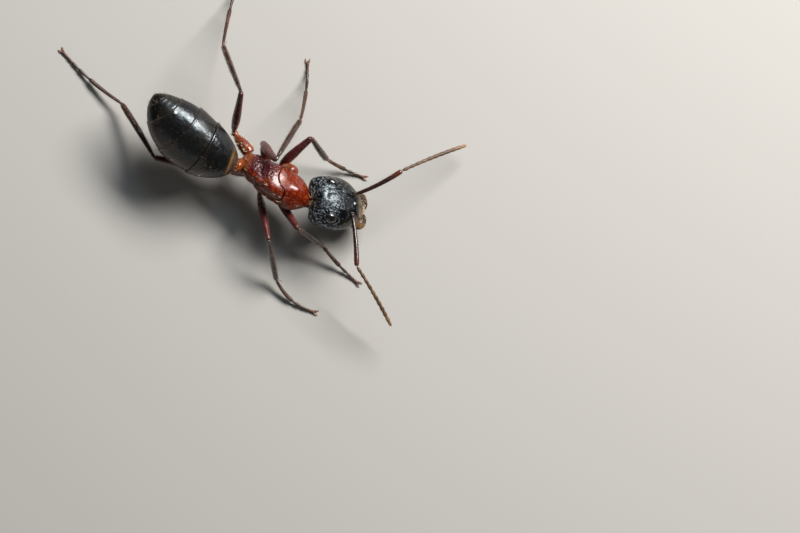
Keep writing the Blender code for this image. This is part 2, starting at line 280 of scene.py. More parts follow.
def cellPattern(tree, place, scale, randomness):  # the distance to the nearest middle, and a colour per cell
    links = {"Vector": place, "Scale": scale, "Randomness": randomness}
    return addNode(tree, "ShaderNodeTexVoronoi", links).outputs


def cellRandom(tree, cells):
    return addNode(tree, "ShaderNodeSeparateColor", {0: cells["Color"]}).outputs


def attribute(tree, name):
    return addNode(tree, "ShaderNodeAttribute", {}, attribute_name=name).outputs["Fac"]


def objectPlace(tree):
    return tree.nodes.new("ShaderNodeTexCoord").outputs["Object"]


def colour(r, g, b):
    return (r, g, b, 1.0)


def newGroup(name, inputs, outputs):
    group = bpy.data.node_groups.new(name, "ShaderNodeTree")
    for title, kind in inputs.items():
        group.interface.new_socket(name=title, in_out="INPUT", socket_type="NodeSocket" + kind)
    for title, kind in outputs.items():
        group.interface.new_socket(name=title, in_out="OUTPUT", socket_type="NodeSocket" + kind)
    return group, group.nodes.new("NodeGroupInput").outputs, group.nodes.new("NodeGroupOutput")


grainPattern = dict(randomness=0.85, noiseScale=2.3, noiseDetail=2.0, noiseRoughness=0.6, domeShare=0.65)
mottlePattern = dict(slowShare=0.72, slowDetail=3.0, fineScale=9.0, fineDetail=2.0, steps=(0.34, 0.50, 0.68))


def makeGrainGroup():  # cells with raised middles, broken by a finer noise
    pattern = grainPattern
    inputs = {"Vector": "Vector", "Cells per mm": "Float", "Stretch": "Vector"}
    group, start, end = newGroup("shell grain", inputs, {"Height": "Float", "Random": "Float"})
    size = times(group, start["Cells per mm"], 1 / millimetre)
    place = addNode(group, "ShaderNodeVectorMath", {0: start["Vector"], 1: start["Stretch"]},
                    operation="MULTIPLY").outputs[0]
    cells = cellPattern(group, place, size, pattern["randomness"])
    rough = noise(group, place, times(group, size, pattern["noiseScale"]), pattern["noiseDetail"],
                  pattern["noiseRoughness"])
    dome = times(group, oneMinus(group, cells["Distance"]), pattern["domeShare"])
    height = calc(group, "ADD", dome, times(group, rough, 1 - pattern["domeShare"]))
    plug(group, end, {"Height": height, "Random": cellRandom(group, cells)[0]})
    return group


def makeMottleGroup():  # slow changes of colour from patch to patch, with a finer mottling inside them
    pattern = mottlePattern
    inputs = {"Vector": "Vector", "Patches per mm": "Float"}
    inputs.update(Dark="Color", Mid="Color", Light="Color")
    group, start, end = newGroup("mottle", inputs, {"Color": "Color"})
    size = times(group, start["Patches per mm"], 1 / millimetre)
    slow = noise(group, start["Vector"], size, pattern["slowDetail"])
    fine = noise(group, start["Vector"], times(group, size, pattern["fineScale"]), pattern["fineDetail"])
    slow = times(group, slow, pattern["slowShare"])
    mix = calc(group, "ADD", slow, times(group, fine, 1 - pattern["slowShare"]))
    low, middle, high = pattern["steps"]
    first = mixColour(group, span(group, mix, low, middle), start["Dark"], start["Mid"])
    plug(group, end, {"Color": mixColour(group, span(group, mix, middle, high), first, start["Light"])})
    return group


def makeSpeckGroup():  # sparse pale specks: a share of the cells, each with a middle of its own size
    inputs = {"Vector": "Vector", "Specks per mm": "Float", "Size": "Float", "Share": "Float"}
    group, start, end = newGroup("specks", inputs, {"Mask": "Float"})
    size = times(group, start["Specks per mm"], 1 / millimetre)
    cells = cellPattern(group, start["Vector"], size, 1.0)
    random = cellRandom(group, cells)
    near = calc(group, "LESS_THAN", cells["Distance"], times(group, random[1], start["Size"]))
    chosen = calc(group, "LESS_THAN", random[0], start["Share"])
    plug(group, end, {"Mask": times(group, near, chosen)})
    return group


groups = {"grain": makeGrainGroup(), "mottle": makeMottleGroup(), "specks": makeSpeckGroup()}


def useGroup(tree, name, links):
    node = tree.nodes.new("ShaderNodeGroup")
    node.node_tree = groups[name]
    return plug(tree, node, links).outputs


def grainAt(tree, place, cells, stretch=(1, 1, 1)):
    return useGroup(tree, "grain", {"Vector": place, "Cells per mm": cells, "Stretch": stretch})


def mottled(tree, place, patches, dark, mid, light):
    links = {"Vector": place, "Patches per mm": patches}
    links.update(Dark=colour(*dark), Mid=colour(*mid), Light=colour(*light))
    return useGroup(tree, "mottle", links)["Color"]


# lays pale specks of one tint over the base colour
def specked(tree, place, base, perMm, size, share, strength, tint):
    specks = useGroup(tree, "specks", {"Vector": place, "Specks per mm": perMm, "Size": size, "Share": share})
    return mixColour(tree, times(tree, specks["Mask"], strength), base, colour(*tint))


def newMaterial(name, specular, coat=0.0, coatRoughness=0.1):
    material = bpy.data.materials.new(name)
    material.use_nodes = True
    shader = material.node_tree.nodes["Principled BSDF"]
    plug(material.node_tree, shader, {"Specular IOR Level": specular, "Coat Weight": coat,
                                      "Coat Roughness": coatRoughness})
    return material, material.node_tree, shader


def finishShader(tree, shader, base, roughness, bumps, strength=1.0):  # bumps laid one over the other
    normal = None
    for height, depth in bumps:
        links = {"Height": height, "Distance": depth * millimetre, "Strength": strength}
        if normal is not None:
            links["Normal"] = normal
        normal = addNode(tree, "ShaderNodeBump", links).outputs["Normal"]
    plug(tree, shader, {"Base Color": base, "Roughness": roughness, "Normal": normal})


# The head's finish: near black and grained, with horn-brown over the mouth and smooth cheeks

headLooks = dict(
    dark=(0.0020, 0.0024, 0.0028), light=(0.006, 0.007, 0.008), patches=1.6, cheek=(0.022, 0.016, 0.005),
    hornDark=(0.018, 0.011, 0.002), hornLight=(0.170, 0.092, 0.018), streaks=5200.0,
    shine=(0.80, 0.93, 1.0), specular=0.42, roughness=(0.14, 0.30), polishing=0.45,
    paleSpecks=dict(perMm=9.0, size=0.30, share=0.10, strength=0.5, tint=(0.35, 0.38, 0.40)),
    cells=9.5, stretch=(0.75, 1.0, 1.0), fineCells=24.7, proudCells=(0.62, 0.80),
    proudDepth=0.050, grainDepth=0.014, fineDepth=0.0042, smoothing=0.88,
)


def makeHeadMaterial():
    looks = headLooks
    material, tree, shader = newMaterial("head shell", looks["specular"])
    place = objectPlace(tree)
    plug(tree, shader, {"Specular Tint": colour(*looks["shine"])})
    grain = grainAt(tree, place, looks["cells"], looks["stretch"])
    fine = grainAt(tree, place, looks["fineCells"])
    front = attribute(tree, "front")  # one over the clypeus and the mouth
    gena = attribute(tree, "gena")  # one over the smooth cheeks
    polish = attribute(tree, "polish")  # one where the sculpture fades out
    streaks = span(tree, noise(tree, place, looks["streaks"], 3.0), 0.40, 0.66)
    horn = mixColour(tree, streaks, colour(*looks["hornDark"]), colour(*looks["hornLight"]))
    base = mottled(tree, place, looks["patches"], looks["dark"], looks["dark"], looks["light"])
    base = mixColour(tree, gena, base, colour(*looks["cheek"]))
    base = specked(tree, place, mixColour(tree, front, base, horn), **looks["paleSpecks"])
    even = oneMinus(tree, times(tree, calc(tree, "SUBTRACT", polish, front), looks["polishing"]))
    rough = times(tree, span(tree, grain["Random"], 0.0, 1.0, *looks["roughness"]), even)
    depth = oneMinus(tree, times(tree, polish, looks["smoothing"]))
    proud = times(tree, span(tree, grain["Random"], *looks["proudCells"]), depth)  # some cells stand higher
    finishShader(tree, shader, base, rough, [(times(tree, grain["Height"], proud), looks["proudDepth"]),
                                             (times(tree, grain["Height"], depth), looks["grainDepth"]),
                                             (times(tree, fine["Height"], depth), looks["fineDepth"])])
    return material


# The trunk's finish: mottled red, wrinkled and darker on the left flank, orange low down and behind; the
# orange low on the shaded right flank is partly painted light, and painted shade darkens the seams between
# plates

trunkLooks = dict(
    dark=(0.040, 0.004, 0.002), mid=(0.090, 0.007, 0.002), light=(0.17, 0.022, 0.003), patches=1.3,
    dots=(0.34, 0.062, 0.008), dotCells=13.0, dotShare=0.42, flank=(0.065, 0.008, 0.010),
    # orange is partly real colour and partly painted light on the shaded right flank; edge is painted shade
    # in the seams between the plates
    orange=(0.20, 0.045, 0.005), edge=(0.045, 0.007, 0.004),
    paleSpecks=dict(perMm=5.0, size=0.22, share=0.14, strength=0.5, tint=(0.50, 0.30, 0.22)),
    specular=0.38, coat=(0.12, 0.12), roughness=(0.24, 0.19), fineCells=34.0, smoothShare=0.04,
    wrinkleCells=8.0, wrinkleStretch=(1.0, 0.6, 1.0), wrinkleDepth=0.065, dotDepth=0.0045, fineDepth=0.0020,
)


def makeTrunkMaterial():
    looks = trunkLooks
    material, tree, shader = newMaterial("trunk shell", looks["specular"], *looks["coat"])
    place = objectPlace(tree)
    rugose = attribute(tree, "rugose")  # one over the wrinkled left flank
    dots = grainAt(tree, place, looks["dotCells"])
    base = mottled(tree, place, looks["patches"], looks["dark"], looks["mid"], looks["light"])
    dotted = span(tree, dots["Random"], 0.55, 1.0, 0.0, looks["dotShare"])
    base = mixColour(tree, dotted, base, colour(*looks["dots"]))
    base = mixColour(tree, rugose, base, colour(*looks["flank"]))
    # orange carries painted light low on the right flank, and edge carries painted shade in the seams
    base = mixColour(tree, attribute(tree, "orange"), base, colour(*looks["orange"]))
    base = mixColour(tree, attribute(tree, "edge"), base, colour(*looks["edge"]))
    base = specked(tree, place, base, **looks["paleSpecks"])
    grain = grainAt(tree, place, looks["wrinkleCells"], looks["wrinkleStretch"])
    fine = grainAt(tree, place, looks["fineCells"])
    depth = calc(tree, "ADD", looks["smoothShare"], rugose)
    rough = span(tree, rugose, 0.0, 1.0, *looks["roughness"])
    finishShader(tree, shader, base, rough, [(times(tree, grain["Height"], depth), looks["wrinkleDepth"]),
                                             (dots["Height"], looks["dotDepth"]),
                                             (fine["Height"], looks["fineDepth"])])
    return material


# The gaster's finish: black and silky, with paler rear rims and a paler underside; the right flank and a band
# round the front are painted paler, a painted glow of light through the shell

gasterLooks = dict(
    dark=(0.003, 0.003, 0.003), light=(0.012, 0.010, 0.008), patches=0.9,
    shine=(0.84, 0.94, 1.0), specular=0.48,
    # belly and the broad right-hand part of rim are a painted glow of light through the shell on the shaded
    # right flank; band is a painted golden glow round the front
    belly=(0.100, 0.062, 0.040), rim=(0.040, 0.026, 0.015), band=(0.150, 0.072, 0.020),
    paleSpecks=dict(perMm=2.4, size=0.22, share=0.30, strength=0.8, tint=(0.55, 0.54, 0.50)),
    cloudScale=1500.0, roughness=(0.21, 0.34), fineCells=26.0, stretch=(1.0, 0.35, 1.0), swellScale=2600.0,
    swellDepth=0.030, fineDepth=0.0045,
)


def makeGasterMaterial():
    looks = gasterLooks
    material, tree, shader = newMaterial("gaster shell", looks["specular"])
    place = objectPlace(tree)
    plug(tree, shader, {"Specular Tint": colour(*looks["shine"])})
    base = mottled(tree, place, looks["patches"], looks["dark"], looks["dark"], looks["light"])
    for name in ("belly", "rim", "band"):
        base = mixColour(tree, attribute(tree, name), base, colour(*looks[name]))
    base = specked(tree, place, base, **looks["paleSpecks"])
    cloud = noise(tree, place, looks["cloudScale"], 4.0, 0.6)
    rough = span(tree, cloud, 0.3, 0.7, *looks["roughness"])
    fine = grainAt(tree, place, looks["fineCells"], looks["stretch"])
    swell = noise(tree, place, looks["swellScale"], 2.0)
    bumps = [(swell, looks["swellDepth"]), (fine["Height"], looks["fineDepth"])]
    finishShader(tree, shader, base, rough, bumps)
    return material


# The limbs' finishes: darker patches, lighter patches and the far end; grain in cells per mm and depth in mm

limbLooks = {
    # eye rim: its tip colour is a painted highlight, a pale crescent on the ring's thick outer side
    "eye rim": dict(dark=(0.012, 0.010, 0.009), light=(0.030, 0.024, 0.020), tip=(0.42, 0.33, 0.26),
                    roughness=0.20, cells=20, depth=0.003),
    "mandible": dict(dark=(0.028, 0.013, 0.003), light=(0.130, 0.062, 0.012), tip=(0.030, 0.009, 0.004),
                     roughness=0.18, cells=12, depth=0.010),
    "scape": dict(dark=(0.020, 0.008, 0.007), light=(0.045, 0.016, 0.012), tip=(0.075, 0.016, 0.009),
                  roughness=0.18, cells=22, depth=0.004),
    "funiculus": dict(dark=(0.07, 0.035, 0.014), light=(0.16, 0.085, 0.032), tip=(0.20, 0.11, 0.045),
                      roughness=0.42, cells=30, depth=0.006),
    "coxa": dict(dark=(0.13, 0.022, 0.006), light=(0.30, 0.068, 0.010), tip=(0.10, 0.018, 0.008),
                 roughness=0.18, cells=13, depth=0.012, coat=0.4),
    "femur": dict(dark=(0.080, 0.012, 0.013), light=(0.115, 0.018, 0.017), tip=(0.055, 0.010, 0.008),
                  roughness=0.27, cells=13, depth=0.012),
    "tibia": dict(dark=(0.022, 0.010, 0.007), light=(0.055, 0.024, 0.016), tip=(0.030, 0.012, 0.008),
                  roughness=0.15, cells=20, depth=0.003, coat=0.9),
    "tarsus": dict(dark=(0.032, 0.014, 0.009), light=(0.085, 0.040, 0.024), tip=(0.09, 0.035, 0.018),
                   roughness=0.32, cells=24, depth=0.005),
    "claw": dict(dark=(0.16, 0.045, 0.014), light=(0.30, 0.10, 0.03), tip=(0.10, 0.03, 0.012),
                 roughness=0.25, cells=20, depth=0.003),
}
limbFinish = dict(specular=0.48, coatRoughness=0.15, patches=2.2, darkest=0.6, tipFrom=0.72,
                  spread=(-0.05, 0.10), fineScale=3, fineShare=0.3)


def makeLimbMaterial(name, dark, light, tip, roughness, cells, depth, coat=0.0):
    looks = limbFinish
    material, tree, shader = newMaterial(name, looks["specular"], coat, looks["coatRoughness"])
    place = objectPlace(tree)
    darkest = [looks["darkest"] * value for value in dark]
    base = mottled(tree, place, looks["patches"], darkest, dark, light)
    base = mixColour(tree, span(tree, attribute(tree, "along"), looks["tipFrom"], 1.0), base, colour(*tip))
    grain = grainAt(tree, place, cells)
    fine = grainAt(tree, place, cells * looks["fineScale"])
    rough = span(tree, grain["Random"], 0.0, 1.0, *(roughness + value for value in looks["spread"]))
    bumps = [(grain["Height"], depth), (fine["Height"], depth * looks["fineShare"])]
    finishShader(tree, shader, base, rough, bumps)
    return material


# The finishes of the eyes and the hairs

eyeLooks = dict(middle=(0.012, 0.009, 0.010), seam=(0.003, 0.002, 0.002), specular=0.6, coat=(0.6, 0.06),
                roughness=0.10, facets=42000.0, randomness=0.25, depth=0.006, strength=0.7)
hairLooks = {
    "pale hair": dict(root=(0.45, 0.33, 0.18), tip=(0.80, 0.70, 0.50), roughness=0.35),
    "silver hair": dict(root=(0.22, 0.24, 0.27), tip=(0.52, 0.57, 0.62), roughness=0.22),
    "dark hair": dict(root=(0.10, 0.055, 0.025), tip=(0.36, 0.24, 0.12), roughness=0.35),
}


def makeEyeMaterial():
    looks = eyeLooks
    material, tree, shader = newMaterial("eye facets", looks["specular"], *looks["coat"])
    distance = cellPattern(tree, objectPlace(tree), looks["facets"], looks["randomness"])["Distance"]
    base = mixColour(tree, span(tree, distance, 0.2, 0.6), colour(*looks["middle"]), colour(*looks["seam"]))
    bumps = [(oneMinus(tree, distance), looks["depth"])]
    finishShader(tree, shader, base, looks["roughness"], bumps, looks["strength"])
    return material


def makeHairMaterial(name, root, tip, roughness):  # from the root's colour to the tip's, unevenly
    material, tree, shader = newMaterial(name, 0.6)
    uneven = noise(tree, objectPlace(tree), 3000.0, 1.0)
    shift = times(tree, calc(tree, "SUBTRACT", uneven, 0.5), 0.8)
    lift = calc(tree, "ADD", attribute(tree, "along"), shift, True)
    base = mixColour(tree, lift, colour(*root), colour(*tip))
    finishShader(tree, shader, base, roughness, [(uneven, 0.001)])
    return material


materials = {"head": makeHeadMaterial(), "trunk": makeTrunkMaterial(), "gaster": makeGasterMaterial(),
             "eye": makeEyeMaterial()}
for name, looks in limbLooks.items():
    materials[name] = makeLimbMaterial(name, **looks)
for name, looks in hairLooks.items():
    materials[name] = makeHairMaterial(name, **looks)
print("materials", len(materials))


# The trunk: three plates with rolled-in edges and painted shade along them, so that the lines between them
# read dark. Each row is a place along, half the width, the top, the bottom, and how far the flanks trail
# behind the middle. A mark is its height, below zero where it is sunk, and the width of its bell.

trunkShape = dict(
    square=2.3, sides=150, rings=90,
    ridge=dict(square=0.8, squareOver=(-1.5, -0.9), middle=0.60, middleOver=(-1.25, -0.05),
               rear=0.74, rearOver=(0.1, 0.7)),
    plates={
        "pronotum": dict(
            rows=[(1.78, .17, .04, -.22, 0), (1.54, .23, .14, -.28, 0), (1.40, .37, .28, -.36, 0),
                  (1.20, .54, .46, -.46, .02), (1.00, .67, .60, -.53, .08), (.82, .74, .69, -.58, .26),
                  (.64, .75, .75, -.62, .66)],
            edges=(0, 0.024), flanks=(1, 1)),
        "mesonotum": dict(
            rows=[(.61, .73, .75, -.62, .66), (.36, .70, .79, -.65, .64), (.05, .64, .80, -.67, .56),
                  (-.245, .58, .75, -.67, .46)],
            edges=(0.024, 0.024), flanks=(1, 0.3)),
        "propodeum": dict(
            rows=[(-.26, .565, .72, -.67, .46), (-.60, .56, .70, -.66, .30), (-.95, .53, .60, -.64, .13),
                  (-1.25, .48, .42, -.60, 0), (-1.50, .37, .05, -.52, 0), (-1.64, .20, -.16, -.42, 0),
                  (-1.68, 0, -.28, -.34, 0)],
            edges=(0.024, 0), flanks=(0.3, 1)),
    },
    marks=dict(groove=(-0.030, 0.045), lowLine=(-0.022, 0.035), spiracleRim=(0.026, 0.40),
               spiraclePit=(-0.050, 0.75), wrinkles=0.020, unevenness=0.010),
    # darkEdge: painted shade along the seams where the plates meet
    darkEdge=dict(strength=0.7, width=0.030, fade=0.026, rise=(-1.2, -0.9), fall=(1.2, 1.5)),
)
petioleShape = dict(
    square=2.2, sides=90, rings=70, crest=0.02, orange=0.60, rugose=0.25,
    rows=[(.30, .15, .02, -.26, 0), (.20, .24, .18, -.32, 0), (.13, .30, .38, -.34, 0),
          (0, .33, .50, -.34, 0), (-.13, .30, .42, -.34, 0), (-.22, .22, .16, -.32, 0),
          (-.34, .14, .06, -.24, 0)],
)
thinnest = 0.002  # a ring's least half-width, where a shell closes


def rolledIn(distance, size):  # inset of a quarter-round edge at a distance from the rim
    reach = np.clip(size - distance, 0, size)
    return size - np.sqrt(np.maximum(size * size - reach * reach, 0))


# Each ring is a rounded square: cosine across and sine up, each to the power of two over the squareness

def plateGrid(rows, rings, sides, square, edges=(0, 0), flanks=(1, 1), ridge=None):
    along, half, top, bottom, trail = (column[:, None] for column in curveThrough(rows, clustered(rings)).T)
    angles = circle(sides)
    squares = square + (ridge["square"] * ramp(-along, *ridge["squareOver"]) if ridge else 0 * along)
    c = np.sign(np.cos(angles)) * np.abs(np.cos(angles)) ** (2 / squares)
    s = np.sign(np.sin(angles)) * np.abs(np.sin(angles)) ** (2 / squares)
    inset = 0 * c
    for end, size, share in zip((0, -1), edges, flanks):  # share is how much of the roll the flanks keep
        if size:
            inset = inset + rolledIn(np.abs(along - along[end]), size) * (1 - (1 - share) * c ** 2)
    middle = (top + bottom) / 2
    wide = np.maximum(half - inset, thinnest)
    tall = np.maximum((top - bottom) / 2 - inset, thinnest)
    x = along - trail * np.abs(c) ** 3
    if ridge:  # the back narrows upwards to shoulders, which close to a ridge towards the waist
        narrow = ridge["middle"] * ramp(-x, *ridge["middleOver"])
        narrow = narrow + (ridge["rear"] - ridge["middle"]) * ramp(-x, *ridge["rearOver"])
        wide = wide * (1 - narrow * np.clip(s, 0, 1))
    return np.stack([x, wide * c, middle + tall * s], axis=-1)


def trunkRelief(grid):
    x, y, z = np.moveaxis(grid, -1, 0)
    marks = trunkShape["marks"]
    flank = ramp(np.abs(y), 0.25, 0.45)
    groove = x - 0.16 - 0.75 * (z + 0.15)  # slants down the middle plate's side
    height = marked(marks["groove"], groove) * flank * between(x, (-0.30, -0.12), (0.45, 0.62))
    lowLine = z + 0.28 + 0.10 * np.sin(2.2 * x)  # waves along the foot of the flank
    height += marked(marks["lowLine"], lowLine) * flank * between(x, (-1.3, -1.1), (0.50, 0.70))
    spiracle = np.hypot((x + 0.98) / 0.055, (z - 0.16) / 0.085)  # an upright oval pit with a raised rim
    height += (marked(marks["spiracleRim"], spiracle - 1.15) + marked(marks["spiraclePit"], spiracle)) * flank
    wrinkles = np.sin(9 * x + 2.5 * z) * np.sin(7 * z - 3 * x)
    height += marks["wrinkles"] * wrinkles * flank * ramp(-x, 0.2, 0.6)
    height += marks["unevenness"] * np.sin(3.1 * x + 1.0) * np.sin(4.3 * z + y)
    return height


def trunkColours(grid):
    x, y, z = np.moveaxis(grid, -1, 0)
    dark = trunkShape["darkEdge"]
    rugose = ramp(y, 0.18, 0.40) * ramp(-x, -0.25, 0.45) * ramp(z, -0.55, -0.20)
    rugose = np.maximum(rugose, ramp(y, 0.12, 0.22) * ramp(-x, 0.20, 0.60) * ramp(z, -0.5, 0.1))
    low = ramp(-y, 0.10, 0.50) * ramp(-z, -0.75, -0.20)  # the right side, below the shoulder, painted orange: partly real colour, partly painted light on this shaded flank
    rear = ramp(-x, 1.15, 1.42)  # the slope down to the waist
    # painted shade in the seams: darker near both ends of each plate
    ends = np.minimum(np.abs(x - x[0]), np.abs(x - x[-1]))
    edge = dark["strength"] * ramp(dark["width"] - ends, 0, dark["fade"])
    edge = edge * between(x, dark["rise"], dark["fall"])
    return {"rugose": rugose, "orange": np.clip(0.75 * low + 0.8 * rear, 0, 1), "edge": edge}


def makeTrunk():
    matrix = turned(**poses["trunk"])
    shape = trunkShape
    for name, plate in shape["plates"].items():
        grid = plateGrid(plate["rows"], shape["rings"], shape["sides"], shape["square"], plate["edges"],
                         plate["flanks"], shape["ridge"])
        world = placed(matrix, grid + gridNormals(grid) * trunkRelief(grid)[..., None])
        keepSkin(name, world)
        parts = [closedPart(world, trunkColours(grid))]
        makePiece("shell " + name, parts, [materials["trunk"]], name)


def makePetiole():  # an upright scale with a wavy crest
    shape = petioleShape
    grid = plateGrid(shape["rows"], shape["rings"], shape["sides"], shape["square"])
    grid[..., 0] += shape["crest"] * ramp(grid[..., 2], 0.0, 0.4) * np.cos(6 * grid[..., 1])
    world = placed(turned(**poses["petiole"]), grid)
    keepSkin("petiole", world)
    rugose = shape["rugose"] * ramp(grid[..., 2], -0.1, 0.3)
    parts = [closedPart(world, {"orange": shape["orange"], "edge": 0.0, "rugose": rugose})]
    makePiece("shell petiole", parts, [materials["trunk"]], "petiole")


makeTrunk()
makePetiole()
print("trunk and petiole")


# The gaster: one egg parted into overlapping plates, each with a thin pale rim behind

gasterShape = dict(
    length=4.50, wide=1.22, tall=1.00, bend=47, borders=(0, .34, .60, .82, .94, 1.0), trail=0.10,
    widest=0.48, front=(2.0, 0.49), tip=(1.8, 0.66), belly=0.95, lip=0.042, sides=180, rings=80,
    tuck=0.022, gap=0.004, dip=0.020, roll=0.018, welt=(0.012, 0.04), seam=(-0.018, 0.035), unevenness=0.006,
    rim=dict(width=0.075, fade=0.05, back=0.12, flank=0.40),
    # pale: a painted glow of light on the shaded right flank before each rim; bandPlace and bandWidth place
    # the painted golden glow round the front
    pale=dict(width=0.30, fade=0.28, right=(0.25, 0.80), strength=0.7), bandPlace=0.072, bandWidth=0.012,
)


def eggSize(s):  # one minus the distance from the widest place, to a power, to another power
    shape = gasterShape
    away = np.clip(s, 0, 1) - shape["widest"]
    reach = np.where(away > 0, away / (1 - shape["widest"]), -away / shape["widest"])
    full, blunt = (np.where(away > 0, shape["tip"][n], shape["front"][n]) for n in (0, 1))
    return np.clip(1 - reach ** full, 0, None) ** blunt


def bent(points, turn):  # points carried along an axis that turns left towards both ends
    x, y, z = np.moveaxis(points, -1, 0)
    angle = turn * x
    return np.stack([np.sin(angle) * (1 / turn - y), 1 / turn - np.cos(angle) * (1 / turn - y), z], axis=-1)


def gasterPlaces(i):  # shares of the length, from under the plate before to just short of the border
    shape = gasterShape
    first, last = shape["borders"][i:i + 2]
    start = first - (shape["tuck"] if i > 0 else 0.0)
    finish = last - shape["gap"] if i < 4 else 1.0
    t = clustered(shape["rings"]) if i in (0, 4) else np.linspace(0, 1, shape["rings"]) ** 0.8
    return start + (finish - start) * t


def gasterRise(i, place, distance):  # wider towards the rear rim, with a welt before it and a dip in front
    shape = gasterShape
    first, last = shape["borders"][i:i + 2]
    rise = shape["lip"] * (1 - i / 4) * ramp(place, first, last)
    if i > 0:
        rise = rise - shape["dip"] * ramp(first - place, -0.012, 0.012)
    if i < 4:
        rise = rise - rolledIn(distance, shape["roll"]) + marked(shape["welt"], distance - 0.05)
    return rise


def gasterColours(i, place, distance, grid, c):
    shape = gasterShape
    rim, pale = shape["rim"], shape["pale"]
    x, side, height = np.moveaxis(grid, -1, 0)
    # belly: the right flank painted paler brown as a painted glow of light through the shell, and the
    # underside paler; less on the rear plates
    belly = np.clip(ramp(-side, 0.45, 1.10) * 0.9 + 0.6 * ramp(-height, 0.3, 0.9), 0, 1) * (0.9 - 0.12 * i)
    edge, band = 0 * x, 0 * x
    if i < 4:  # a pale line on the rim, and before it on the right a broad pale stretch, a painted glow of light on the shaded flank
        line = ramp(rim["width"] - distance, 0.0, rim["fade"])[:, None]
        edge = line * (rim["back"] + rim["flank"] * np.abs(c))
        broad = ramp(pale["width"] - distance, 0.0, pale["fade"])[:, None] * ramp(-side, *pale["right"])
        edge = np.maximum(edge, broad * pale["strength"])
    if i == 0:  # a painted golden glow of light: a brown band round the front that fades on the left, and a paler end before it
        belly = belly + ramp(0.08 - place, 0, 0.02)[:, None] * 0.3
        band = bell((place - shape["bandPlace"]) / shape["bandWidth"])[:, None] * ramp(-side, -0.85, -0.20)
    return {"rim": np.clip(edge, 0, 1), "belly": np.clip(belly, 0, 1), "band": band}


def makeGaster():  # ovals along the egg, with the flanks trailing behind the middle, bent and turned as one
    shape = gasterShape
    matrix = turned(**poses["gaster"])
    angles = circle(shape["sides"])
    c, s = np.cos(angles), np.sin(angles)
    for i in range(5):
        place = gasterPlaces(i)
        distance = (place[-1] - place) * shape["length"]
        rise = gasterRise(i, place, distance)
        swell = eggSize(place)
        side = np.maximum(shape["wide"] * swell + rise, thinnest)[:, None] * c
        top = np.maximum(shape["tall"] * swell + rise, thinnest)[:, None]
        height = np.where(s > 0, top * s, shape["belly"] * top * s)
        x = shape["length"] * (0.5 - place)[:, None]
        x = x - shape["trail"] * (4 * place * (1 - place))[:, None] * c ** 2
        grid = np.stack([x, side, height], axis=-1)
        seam = np.abs(c) * marked(shape["seam"], s + 0.42)  # where the back plate meets the belly plate
        dent = seam + shape["unevenness"] * np.sin(5 * x + 3 * side) * np.sin(3 * height + 2 * i)
        shaped = grid + gridNormals(grid) * (dent * ramp(swell, 0.1, 0.4)[:, None])[..., None]
        world = placed(matrix, bent(shaped, radians(shape["bend"]) / shape["length"]))
        name = f"gaster_{i + 1}"
        keepSkin(name, world)
        parts = [closedPart(world, gasterColours(i, place, distance, grid, c))]
        makePiece("shell " + name, parts, [materials["gaster"]], name)


makeGaster()
print("gaster")


# The head: one capsule with carinae, antenna sockets, clypeus and sunk eye rims, with rows and marks as above

headShape = dict(
    rows=[(-1.06, 0, .04, -.04, 0), (-1.03, .36, .25, -.26, .06), (-.98, .66, .40, -.40, .14),
          (-.82, .92, .53, -.54, .17), (-.45, 1.05, .65, -.62, .10), (0, 1.08, .70, -.64, 0),
          (.40, 1.01, .62, -.60, 0), (.75, .84, .47, -.52, 0), (1.00, .64, .31, -.44, 0),
          (1.16, .45, .15, -.37, 0), (1.27, .30, .02, -.30, 0), (1.31, 0, -.12, -.18, 0)],
    rings=170, sides=240, square=2.08, socket=(0.60, 0.35, 0.42),
    eye=(-0.35, 0.77, 0.48), eyeHalf=(0.23, 0.20, 0.12), eyeTilt=38,
    marks=dict(carina=(0.045, 0.040), socketPit=(-0.085, 0.085), socketRim=(0.032, 0.030),
               clypeusEdge=(-0.030, 0.14), keel=(0.025, 0.05), frontLine=(-0.016, 0.016), sunk=(-0.020, 0.16),
               back=(-0.05, 0.45), eyeGroove=(-0.030, 0.10), eyeSwell=(0.020, 0.12)),
    clypeus=dict(middle=1.02, half=(0.38, 0.46), height=0.035),
)
eyeRim = dict(inset=0.985, thin=0.013, extra=0.012, drop=0.004, rings=64, sides=10)


def eyeFrame(way):
    x, y, z = headShape["eye"]
    tilt = Matrix.Rotation(radians(-way * headShape["eyeTilt"]), 4, "X")
    return np.array(Matrix.Translation((x, way * y, z)) @ tilt)


